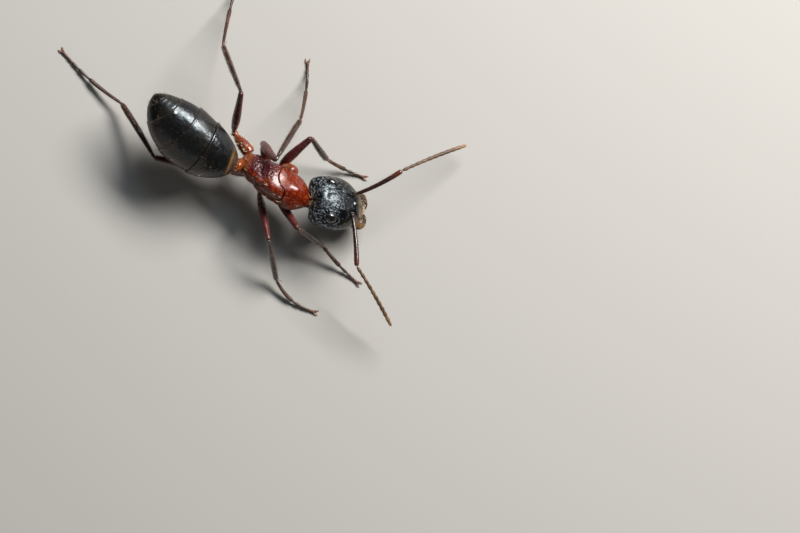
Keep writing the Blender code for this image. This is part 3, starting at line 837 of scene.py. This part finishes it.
def headRelief(grid, normals):  # marks of the face where it looks upwards, then of the back and the eyes
    marks, shield = headShape["marks"], headShape["clypeus"]
    x, y = grid[..., 0], grid[..., 1]
    side, face = np.abs(y), ramp(normals[..., 2], 0.05, 0.5)
    line = 0.22 + 0.30 * (0.62 - x)  # the carinae part towards the back
    height = marked(marks["carina"], side - line) * between(x, (-0.05, 0.20), (0.58, 0.70))
    away = np.hypot(x - 0.60, side - 0.36)  # from the middle of a feeler's socket
    height = height + marked(marks["socketPit"], away) + marked(marks["socketRim"], away - 0.135)
    disc = ((x - shield["middle"]) / shield["half"][0]) ** 2 + (side / shield["half"][1]) ** 2
    height = height + shield["height"] * ramp(-disc, -1.15, -0.80) + marked(marks["clypeusEdge"], disc - 1.12)
    height = height + marked(marks["keel"], y) * ramp(-disc, -1.0, -0.6)
    height = height + marked(marks["frontLine"], y) * between(x, (-0.25, 0.0), (0.50, 0.60))
    height = height + marked(marks["sunk"], side - 0.62) * bell((x - 0.62) / 0.22)
    height = height * face + marked(marks["back"], y) * bell((x + 1.06) / 0.16)
    for way in (1, -1):
        local = placed(np.linalg.inv(eyeFrame(way)), grid)
        reach = np.hypot(local[..., 0] / headShape["eyeHalf"][0], local[..., 1] / headShape["eyeHalf"][1])
        near = ramp(-np.abs(local[..., 2]), -0.35, -0.15)
        height += (marked(marks["eyeGroove"], reach - 1.12) + marked(marks["eyeSwell"], reach - 1.38)) * near
    return height


def headColours(grid):
    x, y, z = np.moveaxis(grid, -1, 0)
    side = np.abs(y)
    gena = ramp(side, 0.42, 0.70) * ramp(x, -0.15, 0.30) * ramp(-z, -0.60, -0.15)
    under = ramp(-z, 0.05, 0.35) * 0.5
    polish = np.maximum(ramp(x, 0.18, 0.45), ramp(side, 0.36, 0.56) * ramp(x, -0.22, 0.10))
    return {"front": ramp(x, 0.80, 1.02) * 0.95, "gena": np.clip(gena + under, 0, 1), "polish": polish}


mouthShape = dict(
    lipMiddle=(1.24, -0.33), lipHalf=(0.34, 0.47, 0.10), lipDrop=0.07, lipRings=32, lipSides=48,
    notch=(0.06, 0.06),
    palps=[dict(route=[(.80, .22, -.48), (1.02, .34, -.62), (1.26, .36, -.66), (1.46, .28, -.60)], joints=5),
           dict(route=[(.90, .10, -.50), (1.10, .12, -.60), (1.28, .10, -.60)], joints=4)],
    palpSize=0.034, palpSides=12, ringsPerJoint=12,
)


def lipGrid():  # an egg laid flat between the jaws, lower in front, with a notch in the middle of its edge
    shape = mouthShape
    theta, phi = np.linspace(0, pi, shape["lipRings"])[1:-1, None], circle(shape["lipSides"])
    (x, z), (long, wide, tall) = shape["lipMiddle"], shape["lipHalf"]
    lip = np.stack([x + long * np.cos(theta) + 0 * phi, wide * np.sin(theta) * np.cos(phi),
                    z - shape["lipDrop"] * np.cos(theta) + tall * np.sin(theta) * np.sin(phi)], axis=-1)
    lip[..., 0] -= marked(shape["notch"], lip[..., 1]) * ramp(lip[..., 0], 1.3, 1.5)
    return lip


def mouthParts(matrix):  # the lip and, under it, two pairs of jointed feelers that swell at each joint
    shape = mouthShape
    parts = [closedPart(placed(matrix, lipGrid()), {"front": 1.0, "gena": 0.0, "polish": 0.7})]
    for way in (1, -1):
        for palp in shape["palps"]:
            t = np.linspace(0, 1, shape["ringsPerJoint"] * palp["joints"] + 1)
            path = placed(matrix, curveThrough(palp["route"], t) * np.array([1, way, 1]))
            size = shape["palpSize"] * (1 - 0.35 * t)
            size = size * (0.62 + 0.38 * np.abs(np.sin(pi * palp["joints"] * t)) ** 0.5)
            parts.append(tubePart(tubeGrid(path, size, size, shape["palpSides"], nearlyUp), 1))
    return parts


def eyeParts(spot, way):  # a dome, and round it a ring that is thicker low on the cheek and painted pale there, a painted highlight
    a, b, tall = headShape["eyeHalf"]
    theta, phi = np.linspace(0.02, 2.2, 26)[:, None], circle(56)
    across, along = a * np.sin(theta) * np.cos(phi), b * np.sin(theta) * np.sin(phi)
    dome = np.stack([across, along, tall * np.cos(theta) + 0 * phi], axis=-1)
    turn, tube = circle(eyeRim["rings"])[:, None], circle(eyeRim["sides"])
    # outer picks the ring's thick side, which carries the painted highlight
    outer = ramp(way * np.sin(turn), -0.1, 0.7)
    thick = eyeRim["thin"] + eyeRim["extra"] * outer
    ringX = (a * eyeRim["inset"] + thick * np.cos(tube)) * np.cos(turn)
    ringY = (b * eyeRim["inset"] + thick * np.cos(tube)) * np.sin(turn)
    ring = np.stack([ringX, ringY, thick * np.sin(tube) - eyeRim["drop"]], axis=-1)
    return [tubePart(placed(spot, dome)), ringPart(placed(spot, ring), outer + 0 * tube, 1)]


def makeHead():
    matrix = turned(**poses["head"])
    grid = plateGrid(headShape["rows"], headShape["rings"], headShape["sides"], headShape["square"])
    normals = gridNormals(grid)
    world = placed(matrix, grid + normals * headRelief(grid, normals)[..., None])
    keepSkin("head", world)
    parts = [closedPart(world, headColours(grid))] + mouthParts(matrix)
    makePiece("shell head", parts, [materials["head"], materials["funiculus"]], "head")
    for side, way in (("left", 1), ("right", -1)):
        parts = eyeParts(matrix @ eyeFrame(way), way)
        makePiece("eye " + side, parts, [materials["eye"], materials["eye rim"]], "eye_" + side)


makeHead()
print("head and eyes")


# Mandibles: flattened blades that curve in towards each other, toothed along the inner edge, the left one
# lifted a little and the right one lowered

mandibleShape = dict(
    path=[(.95, .46, -.27), (1.17, .56, -.30), (1.38, .52, -.32), (1.53, .34, -.33), (1.60, .10, -.33)],
    wide=[(0, .16), (.2, .21), (.55, .23), (.85, .14), (1, .03)],
    tall=[(0, .13), (.3, .12), (.7, .08), (1, .02)],
    rings=90, sides=28, lift=0.03, teeth=5, toothDepth=0.05, toothFrom=0.42, blade=0.16,
)


def makeMandibles():
    matrix = turned(**poses["head"])
    shape = mandibleShape
    t = np.linspace(0, 1, shape["rings"])
    for side, way in (("left", 1), ("right", -1)):
        path = curveThrough(shape["path"], t) * np.array([1, way, 1]) + np.array([0, 0, shape["lift"] * way])
        grid = tubeGrid(path, profile(shape["wide"], t), profile(shape["tall"], t), shape["sides"], upwards)
        centre = path[:, None]
        away = grid - centre
        inner = ramp(-away[..., 1] * way - 0.3 * away[..., 0], 0.02, 0.10)  # the edge facing the other jaw
        saw = np.abs(((t - shape["toothFrom"]) / (1 - shape["toothFrom"]) * shape["teeth"]) % 1 - 0.5) * 2
        bite = (shape["toothDepth"] * saw * ramp(t, shape["toothFrom"], 0.5))[:, None] * inner
        world = placed(matrix, centre + away * (1 - bite / shape["blade"])[..., None])
        name = "mandible_" + side
        keepSkin(name, world)
        makePiece(name, [tubePart(world)], [materials["mandible"]], name)


makeMandibles()


# Antennae: a long scape with its bulb in the socket, then a whip of eleven beads

antennaShape = dict(
    scapeLength=2.22, whipLength=3.08, steps=8, beads=11,
    left=dict(side=1, scape=(55.8, 4), bow=(.05, -.06, .06), whip=(54, -14), curl=(-6, -18)),
    right=dict(side=-1, scape=(-55.5, 13), bow=(0, .09, .06), whip=(-28, -12), curl=(-6, -22)),
    scapeSizes=[(0, .060), (.025, .078), (.05, .050), (.075, .048), (.13, .080), (.5, .094), (.9, .110),
                (.975, .105), (1, .06)],
    scapeRings=110, scapeSides=26, scapeFlat=0.94,
    whipSizes=[(0, .060), (.05, .070), (.12, .068), (.6, .082), (.9, .080), (.97, .060), (1, .012)],
    whipStart=0.03, whipSides=22, ringsPerBead=12, waist=0.66, trim=(0.012, 0.975),
)


def makeScape(side, root, elbow, bow):
    shape = antennaShape
    sizes = profile(shape["scapeSizes"], np.linspace(0, 1, shape["scapeRings"]))
    path = straight(root, elbow, shape["scapeRings"], bow)
    grid = tubeGrid(path, sizes * shape["scapeFlat"], sizes, shape["scapeSides"], nearlyUp)
    keepSkin("scape_" + side, grid)
    makePiece("scape " + side, [tubePart(grid)], [materials["scape"]], f"antenna_{side}_scape")


def makeWhip(side, elbow, whip, curl):  # a curve through short steps that turn and drop more each time
    shape = antennaShape
    steps = [heading(whip[0] + curl[0] * t, whip[1] + curl[1] * t) for t in np.linspace(0, 1, shape["steps"])]
    walked = np.vstack([np.zeros(3), np.cumsum(steps, axis=0)])
    corners = elbow + shape["whipLength"] / shape["steps"] * walked
    t = np.linspace(0, 1, shape["beads"] * shape["ringsPerBead"] + 1)
    path = curveThrough(corners, shape["trim"][0] + shape["trim"][1] * t)
    bead = (t * shape["beads"]) % 1
    sizes = np.interp(t, *np.array(shape["whipSizes"]).T)
    sizes = sizes * (shape["waist"] + (1 - shape["waist"]) * np.sin(pi * bead ** 1.5) ** 0.5)
    sizes[0] = shape["whipStart"]
    grid = tubeGrid(path, sizes, sizes, shape["whipSides"], nearlyUp)
    keepSkin("whip_" + side, grid)
    parts = [tubePart(grid)]
    makePiece("funiculus " + side, parts, [materials["funiculus"]], f"antenna_{side}_funiculus")


def makeAntennae():
    matrix = turned(**poses["head"])
    x, y, z = headShape["socket"]
    for side in ("left", "right"):
        pose = antennaShape[side]
        root = placed(matrix, (x, pose["side"] * y, z))
        elbow = root + antennaShape["scapeLength"] * heading(*pose["scape"])
        makeScape(side, root, elbow, pose["bow"])
        makeWhip(side, elbow, pose["whip"], pose["curl"])


makeAntennae()
print("mandibles and antennae")


# Legs: coxa with trochanter, femur, tibia with its spurs, and the foot's five joints, claws and pad. Each
# heading is a turn from the x axis and a rise, in degrees; a foot has its reach, its turn and its curve.

legShape = dict(
    lengths=dict(fore=(1.02, 2.08, 1.78), mid=(.86, 2.38, 2.28), hind=(1.18, 2.94, 2.75)),
    poses={
        "fore_left": dict(hip=(.43, .62, -.42), coxa=(-175.5, -52.7), femur=(70.8, 34.8),
                          tibia=(-25.3, -54.2), foot=(1.62, 3.9, 6)),
        "fore_right": dict(hip=(.96, -.17, -.6), coxa=(-141.9, -39.2), femur=(-27.5, 43),
                           tibia=(-6.1, -47), foot=(2, -17.1, 6)),
        "mid_left": dict(hip=(-.71, .45, -.52), coxa=(137.5, -26.2), femur=(-22.9, 67.3),
                         tibia=(88.3, -34.2), foot=(2.32, 112.6, 6)),
        "mid_right": dict(hip=(-.47, -.26, -.66), coxa=(-85.1, -35), femur=(-48.8, 34.7),
                          tibia=(-50.2, -44.8), foot=(1.98, -10.9, 24)),
        "hind_left": dict(hip=(-1.48, .32, -.5), coxa=(157.1, -19.3), femur=(106.8, 58),
                          tibia=(141, -41.7), foot=(2.89, 106.7, -4)),
        "hind_right": dict(hip=(-1.12, -.34, -.66), coxa=(-148.6, -19.2), femur=(-161.3, 16.3),
                           tibia=(150.9, -22.2), foot=(3.16, 168, -8)),
    },
    sizes=dict(
        coxa=[(0, .20), (.10, .255), (.35, .25), (.62, .19), (.74, .14), (.80, .10), (.84, .13), (.92, .135),
              (1, .09)],
        femur=[(0, .07), (.03, .10), (.12, .155), (.28, .195), (.45, .19), (.70, .155), (.90, .132),
               (.97, .125), (1, .07)],
        tibia=[(0, .05), (.03, .085), (.08, .080), (.2, .108), (.5, .130), (.8, .132), (.96, .118),
               (1, .06)]),
    rings=dict(coxa=70, femur=90, tibia=90), flat=dict(coxa=1.0, femur=0.86, tibia=0.90), sides=36,
    bow=dict(coxa=0.04, femur=0.035, tibia=0.025), stout=dict(fore=1.08, mid=0.96, hind=1.0), midCoxa=0.9,
    spur=dict(drop=-25, leans=(0.25, -0.30), apart=0.05, length=0.30, width=0.016, bend=-0.05),
)
footShape = dict(
    joints=[(0, .50), (.50, .69), (.69, .81), (.81, .89), (.89, 1.0)], height=0.062, steps=101, sides=18,
    sizes=[(0, .45), (.06, .72), (.3, .80), (.8, 1.0), (.95, 1.0), (1, .55)], thick=0.082, taper=0.030,
    leaving=(0.4, 0.62), landing=0.35, up=(0.02, 0.01, 1.0), clearance=0.002,
    claw=dict(back=0.02, apart=0.02, ahead=0.75, aside=0.62, rise=0.22, length=0.215, width=0.026,
              bend=(0.22, -0.30, -0.42)),
    pad=dict(back=0.03, length=0.12, width=0.036, drop=-0.15),
)


def cone(start, direction, length, width, bend, rings=9, sides=8):  # a bent spine that thins to its tip
    t = np.linspace(0, 1, rings)
    path = start + length * (t[:, None] * direction + (t * t)[:, None] * bend)
    sizes = width * np.sqrt(np.clip(1 - t ** 1.6, 0, 1)) + 0.0006
    reference = unit(np.cross(direction, bend + np.array([0.01, 0.02, 0.03])))
    return tubeGrid(path, sizes, sizes, sides, reference)


def spurParts(path, plane, way):
    spur = legShape["spur"]
    parts = []
    for lean in spur["leans"]:
        start = path[-4] + spur["apart"] * lean * plane
        aim = unit(heading(way, spur["drop"]) + lean * plane)
        parts.append(tubePart(cone(start, aim, spur["length"], spur["width"], spur["bend"] * upwards), 1))
    return parts


def makeLengths(leg, pose, pair, corners):  # coxa, femur and tibia, each with a slight bow
    shape = legShape
    femur, tibia = heading(*pose["femur"]), heading(*pose["tibia"])
    plane = unit(np.cross(femur, tibia))  # square to the plane that the leg bends in
    bows = dict(coxa=plane, femur=np.cross(femur, plane), tibia=np.cross(plane, tibia))
    for name, start, end in zip(bows, corners[:-1], corners[1:]):
        path = straight(start, end, shape["rings"][name], shape["bow"][name] * bows[name])
        size = profile(shape["sizes"][name], np.linspace(0, 1, len(path)))
        size = size * (shape["stout"][pair] if name != "tibia" else 1.0)
        size = size * (shape["midCoxa"] if name == "coxa" and pair == "mid" else 1.0)
        reference = plane if abs(plane @ unit(path[-1] - path[0])) < 0.9 else upwards
        grid = tubeGrid(path, size, size * shape["flat"][name], shape["sides"], reference)
        keepSkin(name + "_" + leg, grid)
        parts = [tubePart(grid)] + (spurParts(path, plane, pose["foot"][1]) if name == "tibia" else [])
        makePiece(name + " " + leg, parts, [materials[name], materials["claw"]], f"leg_{leg}_{name}")


def clawParts(toe, aim):  # two claws that spread and hook down, and the pad between them
    claw, pad = footShape["claw"], footShape["pad"]
    across = unit(np.cross(upwards, aim))
    grids = []
    for lean in (1, -1):
        root = toe - claw["back"] * aim + claw["apart"] * lean * across
        out = unit(claw["ahead"] * aim + claw["aside"] * lean * across + claw["rise"] * upwards)
        ahead, aside, down = claw["bend"]
        bend = down * upwards + aside * lean * across + ahead * aim
        grids.append(cone(root, out, claw["length"], claw["width"], bend))
    grids.append(cone(toe - pad["back"] * aim, aim, pad["length"], pad["width"], pad["drop"] * upwards))
    for grid in grids:
        grid[..., 2] = np.maximum(grid[..., 2], footShape["clearance"])
    return [tubePart(grid, material) for grid, material in zip(grids, (1, 1, 0))]


def makeFoot(leg, pose, ankle):  # a curve from the ankle that lands and runs level, cut into five joints
    shape = footShape
    reach, way, curve = pose["foot"]
    toe = ankle + reach * heading(way)
    toe[2] = shape["height"]
    start = ankle + shape["leaving"][0] * reach * heading(way - curve)
    start[2] = ankle[2] + shape["leaving"][1] * (shape["height"] - ankle[2])
    landing = toe - shape["landing"] * reach * heading(way + curve)
    whole = bezier(ankle, start, landing, toe, shape["steps"])
    parts = []
    for k, (first, last) in enumerate(shape["joints"]):
        place = np.linspace(first, last, 30 if k == 0 else 14)
        path = [np.interp(place, np.linspace(0, 1, shape["steps"]), whole[:, n]) for n in range(3)]
        swell = profile(shape["sizes"], np.linspace(0, 1, len(place)))
        size = (shape["thick"] - shape["taper"] * first) * swell
        grid = tubeGrid(np.stack(path, axis=1), size, size, shape["sides"], np.array(shape["up"]))
        parts.append(closedPart(grid, {"along": place[:, None]}))
        if k == 0:
            keepSkin("tarsus_" + leg, grid)
    parts += clawParts(toe, unit(toe - landing))
    makePiece("tarsus " + leg, parts, [materials["tarsus"], materials["claw"]], f"leg_{leg}_tarsus")


def makeLegs():
    matrix = turned(**poses["trunk"])
    for leg, pose in legShape["poses"].items():
        pair = leg.split("_")[0]
        corners = [placed(matrix, pose["hip"])]
        for name, length in zip(("coxa", "femur", "tibia"), legShape["lengths"][pair]):
            corners.append(corners[-1] + length * heading(*pose[name]))
        makeLengths(leg, pose, pair, corners)
        makeFoot(leg, pose, corners[-1])


makeLegs()
print("legs")


# Hairs: closed three-sided spines, joined per region. Each row is a skin, how many hairs, the range of their
# length, their width, how far they stand up, and the region of the skin.

hairPlans = {
    "head": dict(material="dark hair", slot="head_shell", patches=[
        ("head", 70, (0.16, 0.34), 0.0075, 0.95, "front"), ("head", 40, (0.14, 0.26), 0.007, 1.2, "back"),
        ("mandible_left", 40, (0.08, 0.16), 0.006, 0.7, "all"),
        ("mandible_right", 40, (0.08, 0.16), 0.006, 0.7, "all")]),
    "crown": dict(material="silver hair", slot="head_shell", patches=[
        ("head", 620, (0.05, 0.10), 0.0065, 0.22, "crown")]),
    "mouth": dict(material="pale hair", slot="mandible", patches=[
        ("head", 34, (0.18, 0.42), 0.0085, 0.9, "front"),
        ("mandible_left", 26, (0.16, 0.34), 0.0080, 0.8, "all"),
        ("mandible_right", 20, (0.12, 0.24), 0.0070, 0.8, "all")]),
    "trunk": dict(material="pale hair", slot="trunk_shell", patches=[
        ("pronotum", 150, (0.04, 0.07), 0.0020, 0.3, "all"),
        ("pronotum", 16, (0.18, 0.30), 0.007, 1.1, "all"),
        ("mesonotum", 120, (0.04, 0.07), 0.0020, 0.3, "all"),
        ("mesonotum", 8, (0.16, 0.26), 0.007, 1.1, "top"),
        ("propodeum", 200, (0.05, 0.09), 0.0024, 0.4, "all"),
        ("propodeum", 22, (0.14, 0.24), 0.007, 1.0, "all"),
        ("petiole", 26, (0.06, 0.12), 0.005, 0.8, "top")] + [
        ("coxa_" + leg, 70, (0.08, 0.17), 0.010, 0.9, "all")
        for leg in ("hind_left", "hind_right", "mid_right")]),
    "gaster": dict(material="dark hair", slot="gaster_shell", patches=[
        (f"gaster_{i + 1}", count, (0.05, 0.09), 0.0018, 0.14, "all")
        for i, count in enumerate((600, 600, 420, 240, 100))] + [
        (f"gaster_{i + 1}", count, (0.16, 0.28), 0.0055, 0.85, region)
        for i, (count, region) in enumerate((
            (20, "all"), (14, "rear"), (12, "rear"), (10, "rear"), (18, "all")))]),
    "antennae": dict(material="dark hair", slot="funiculus", patches=[
        (name + "_" + side, count, (0.03, 0.06), 0.0035, 0.5, "all")
        for name, count in (("scape", 220), ("whip", 520)) for side in ("left", "right")]),
    "legs": dict(material="dark hair", slot="tibia", patches=[
        (name + "_" + leg, count, length, width, lift, "all")
        for name, count, length, width, lift in (
            ("coxa", 50, (0.06, 0.14), 0.005, 0.7), ("femur", 110, (0.05, 0.10), 0.0045, 0.4),
            ("tibia", 190, (0.06, 0.12), 0.0050, 0.5), ("tarsus", 130, (0.05, 0.09), 0.0045, 0.6))
        for leg in legShape["poses"]]),
}
hairShape = dict(rings=((0.0, 1.0), (0.5, 0.75), (1.0, 0.12)), sides=3, stray=0.28, droop=0.22, rooted=0.004,
                 clearance=0.006, liftRange=(0.7, 1.3), mapMargin=0.02, mapSize=0.0014)


def regionWeight(region, t, up):  # t runs along the skin, and up is how far its surface faces upwards
    if region == "all":
        return 1 + 0 * up
    if region == "top":
        return ramp(up, 0.3, 0.8)
    if region == "front":
        return ramp(t, 0.80, 0.90) * ramp(up, -0.6, 0.1)
    if region == "crown":
        return ramp(-t, -0.54, -0.40) * ramp(up, -0.3, 0.3)
    return ramp(-t, -0.16, -0.08) if region == "back" else ramp(t, 0.90, 0.94)


def pickRoots(skin, count, region):  # chosen by area and weight, away from the skin's two ends
    points, normals = skin["points"], skin["normals"]
    rings, sides = points.shape[:2]
    across = np.linalg.norm(np.roll(points, -1, axis=1) - points, axis=-1)[:-1]
    down = np.linalg.norm(points[1:] - points[:-1], axis=-1)
    share = across * down * regionWeight(region, np.linspace(0, 1, rings)[:-1, None], normals[:-1, :, 2])
    share[:2] = 0
    share[-2:] = 0
    picks = rng.choice(share.size, size=count, p=(share / share.sum()).ravel())
    i, j = picks // sides, picks % sides
    f, g = rng.random(count)[:, None], rng.random(count)[:, None]
    k = (j + 1) % sides
    near, far = (points[i, n] * (1 - f) + points[i + 1, n] * f for n in (j, k))
    flow = unit(points[i + 1, j] - points[i, j])
    uv = np.concatenate([(i[:, None] + f) / rings, (j[:, None] + g) / sides], axis=1)
    return near * (1 - g) + far * g, normals[i, j], flow, uv


def hairRoots(patches):  # each patch has a tile of its own in the coat's map
    rows = []
    tiles = int(np.ceil(np.sqrt(len(patches))))
    margin = hairShape["mapMargin"]
    for index, (skin, count, lengths, width, lift, region) in enumerate(patches):
        root, normal, flow, uv = pickRoots(skins[skin], count, region)
        uv = (np.array([index % tiles, index // tiles]) + margin + (1 - 2 * margin) * uv) / tiles
        length = rng.uniform(*lengths, count)
        lift = lift * rng.uniform(*hairShape["liftRange"], count)
        rows.append((root, normal, flow, uv, length, np.full(count, width), lift))
    return (np.concatenate(column) for column in zip(*rows))


def makeHairs(name, plan):  # each hair is three rings on a curve that leaves with the skin's flow and droops
    shape = hairShape
    root, normal, flow, uv, length, width, lift = hairRoots(plan["patches"])
    count, sides = len(root), shape["sides"]
    stray = unit(rng.normal(size=root.shape)) * shape["stray"]
    aim = unit(flow + normal * lift[:, None] + stray)
    side = unit(np.cross(aim, normal + 0.01))
    over = np.cross(side, aim)
    bend = -normal * shape["droop"] * np.minimum(lift, 1.0)[:, None]
    c, s = np.cos(circle(sides)), np.sin(circle(sides))
    rings, marks, spots = [], [], []
    for t, thick in shape["rings"]:
        centre = root - normal * shape["rooted"] + length[:, None] * (t * aim + t * t * bend)
        centre[:, 2] = np.maximum(centre[:, 2], shape["clearance"])
        ring = c[None, :, None] * side[:, None] + s[None, :, None] * over[:, None]
        rings.append(centre[:, None] + ring * (width * thick)[:, None, None])
        marks.append(np.full((count, sides), t))
        spots.append(uv[:, None] + (np.stack([c, s], axis=1) * shape["mapSize"] * (1 - 0.7 * t))[None])
    points = np.stack(rings, axis=1).reshape(-1, 3)
    base = (np.arange(count) * len(rings) * sides)[:, None, None]
    j = np.arange(sides)
    k = (j + 1) % sides
    wall = np.stack([j, k, k + sides, j + sides], axis=-1)
    quads = (np.concatenate([wall, wall + sides])[None] + base).reshape(-1, 4)
    tris = (np.array([[2, 1, 0], [6, 7, 8]])[None] + base).reshape(-1, 3)
    quads, tris = facingOut(points, quads, tris, 0)
    values = {"along": np.stack(marks, axis=1).reshape(-1)}
    part = dict(points=points, quads=quads, tris=tris, values=values, material=0)
    makePiece("hairs " + name, [part], [materials[plan["material"]]], None,
              uv=np.stack(spots, axis=1).reshape(-1, 2))
    print("hairs", name, count)


for planName, plan in hairPlans.items():
    makeHairs(planName, plan)


# Floor, light and camera

studio = dict(
    aim=(7.570, -1.832, 1.9), distance=500.0, field=32.0, up=(-0.4907, 0.8713), sensor=36,
    floor=(0.36, 0.35, 0.33), floorReach=400.0, lightsAim=(0.5, -0.8, 1.5),
    lights=[
        dict(name="key", place=(21, 78, 74), size=(86, 28), power=0.305, tint=(1.0, 0.97, 0.94)),
        dict(name="side", place=(80, 113, 9), size=(90, 12), power=0.014, tint=(0.86, 0.92, 1.0)),
        dict(name="sky", place=(-12, 84, 112), size=(50, 50), power=0.034, tint=(0.66, 0.82, 1.0)),
        dict(name="fill", place=(0, -96, 42), size=(130, 90), power=0.016, tint=(1.0, 0.95, 0.88)),
    ],
    world=(0.55, 0.58, 0.62), worldStrength=0.06,
)


def makeFloor():
    mesh = bpy.data.meshes.new("floor")
    reach = studio["floorReach"] * millimetre
    corners = [(-reach, -reach, 0), (reach, -reach, 0), (reach, reach, 0), (-reach, reach, 0)]
    mesh.from_pydata(corners, [], [(0, 1, 2, 3)])
    floor = bpy.data.objects.new("floor", mesh)
    bpy.context.scene.collection.objects.link(floor)
    material, tree, shader = newMaterial("floor", 0.2)
    plug(tree, shader, {"Base Color": colour(*studio["floor"]), "Roughness": 0.8})
    mesh.materials.append(material)


def makeLights():
    for light in studio["lights"]:
        data = bpy.data.lights.new(light["name"], "AREA")
        data.energy = light["power"]
        data.shape = "RECTANGLE"
        data.size, data.size_y = np.array(light["size"]) * millimetre
        data.color = light["tint"]
        lamp = bpy.data.objects.new(light["name"], data)
        lamp.location = np.array(light["place"]) * millimetre
        away = Vector(np.array(studio["lightsAim"]) * millimetre) - lamp.location
        lamp.rotation_euler = away.to_track_quat("-Z", "Y").to_euler()
        bpy.context.scene.collection.objects.link(lamp)
    world = bpy.data.worlds.new("studio")
    world.use_nodes = True
    plug(world.node_tree, world.node_tree.nodes["Background"], {"Color": colour(*studio["world"]),
                                                                "Strength": studio["worldStrength"]})
    bpy.context.scene.world = world


def makeCamera():  # straight above its aim, turned so that "up" points up in the view
    camera = bpy.data.cameras.new("camera")
    camera.sensor_width = studio["sensor"]
    camera.lens = studio["sensor"] * studio["distance"] / studio["field"]
    camera.clip_start = 0.01
    eye = bpy.data.objects.new("camera", camera)
    up = np.array([*studio["up"], 0.0])
    turn = Matrix(np.array([np.cross(up, upwards), up, upwards]).T.tolist()).to_4x4()
    place = (np.array(studio["aim"]) + studio["distance"] * upwards) * millimetre
    eye.matrix_world = Matrix.Translation(place) @ turn
    bpy.context.scene.collection.objects.link(eye)
    bpy.context.scene.camera = eye
    bpy.context.scene.view_settings.view_transform = "Standard"


makeFloor()
makeLights()
makeCamera()
print("studio")
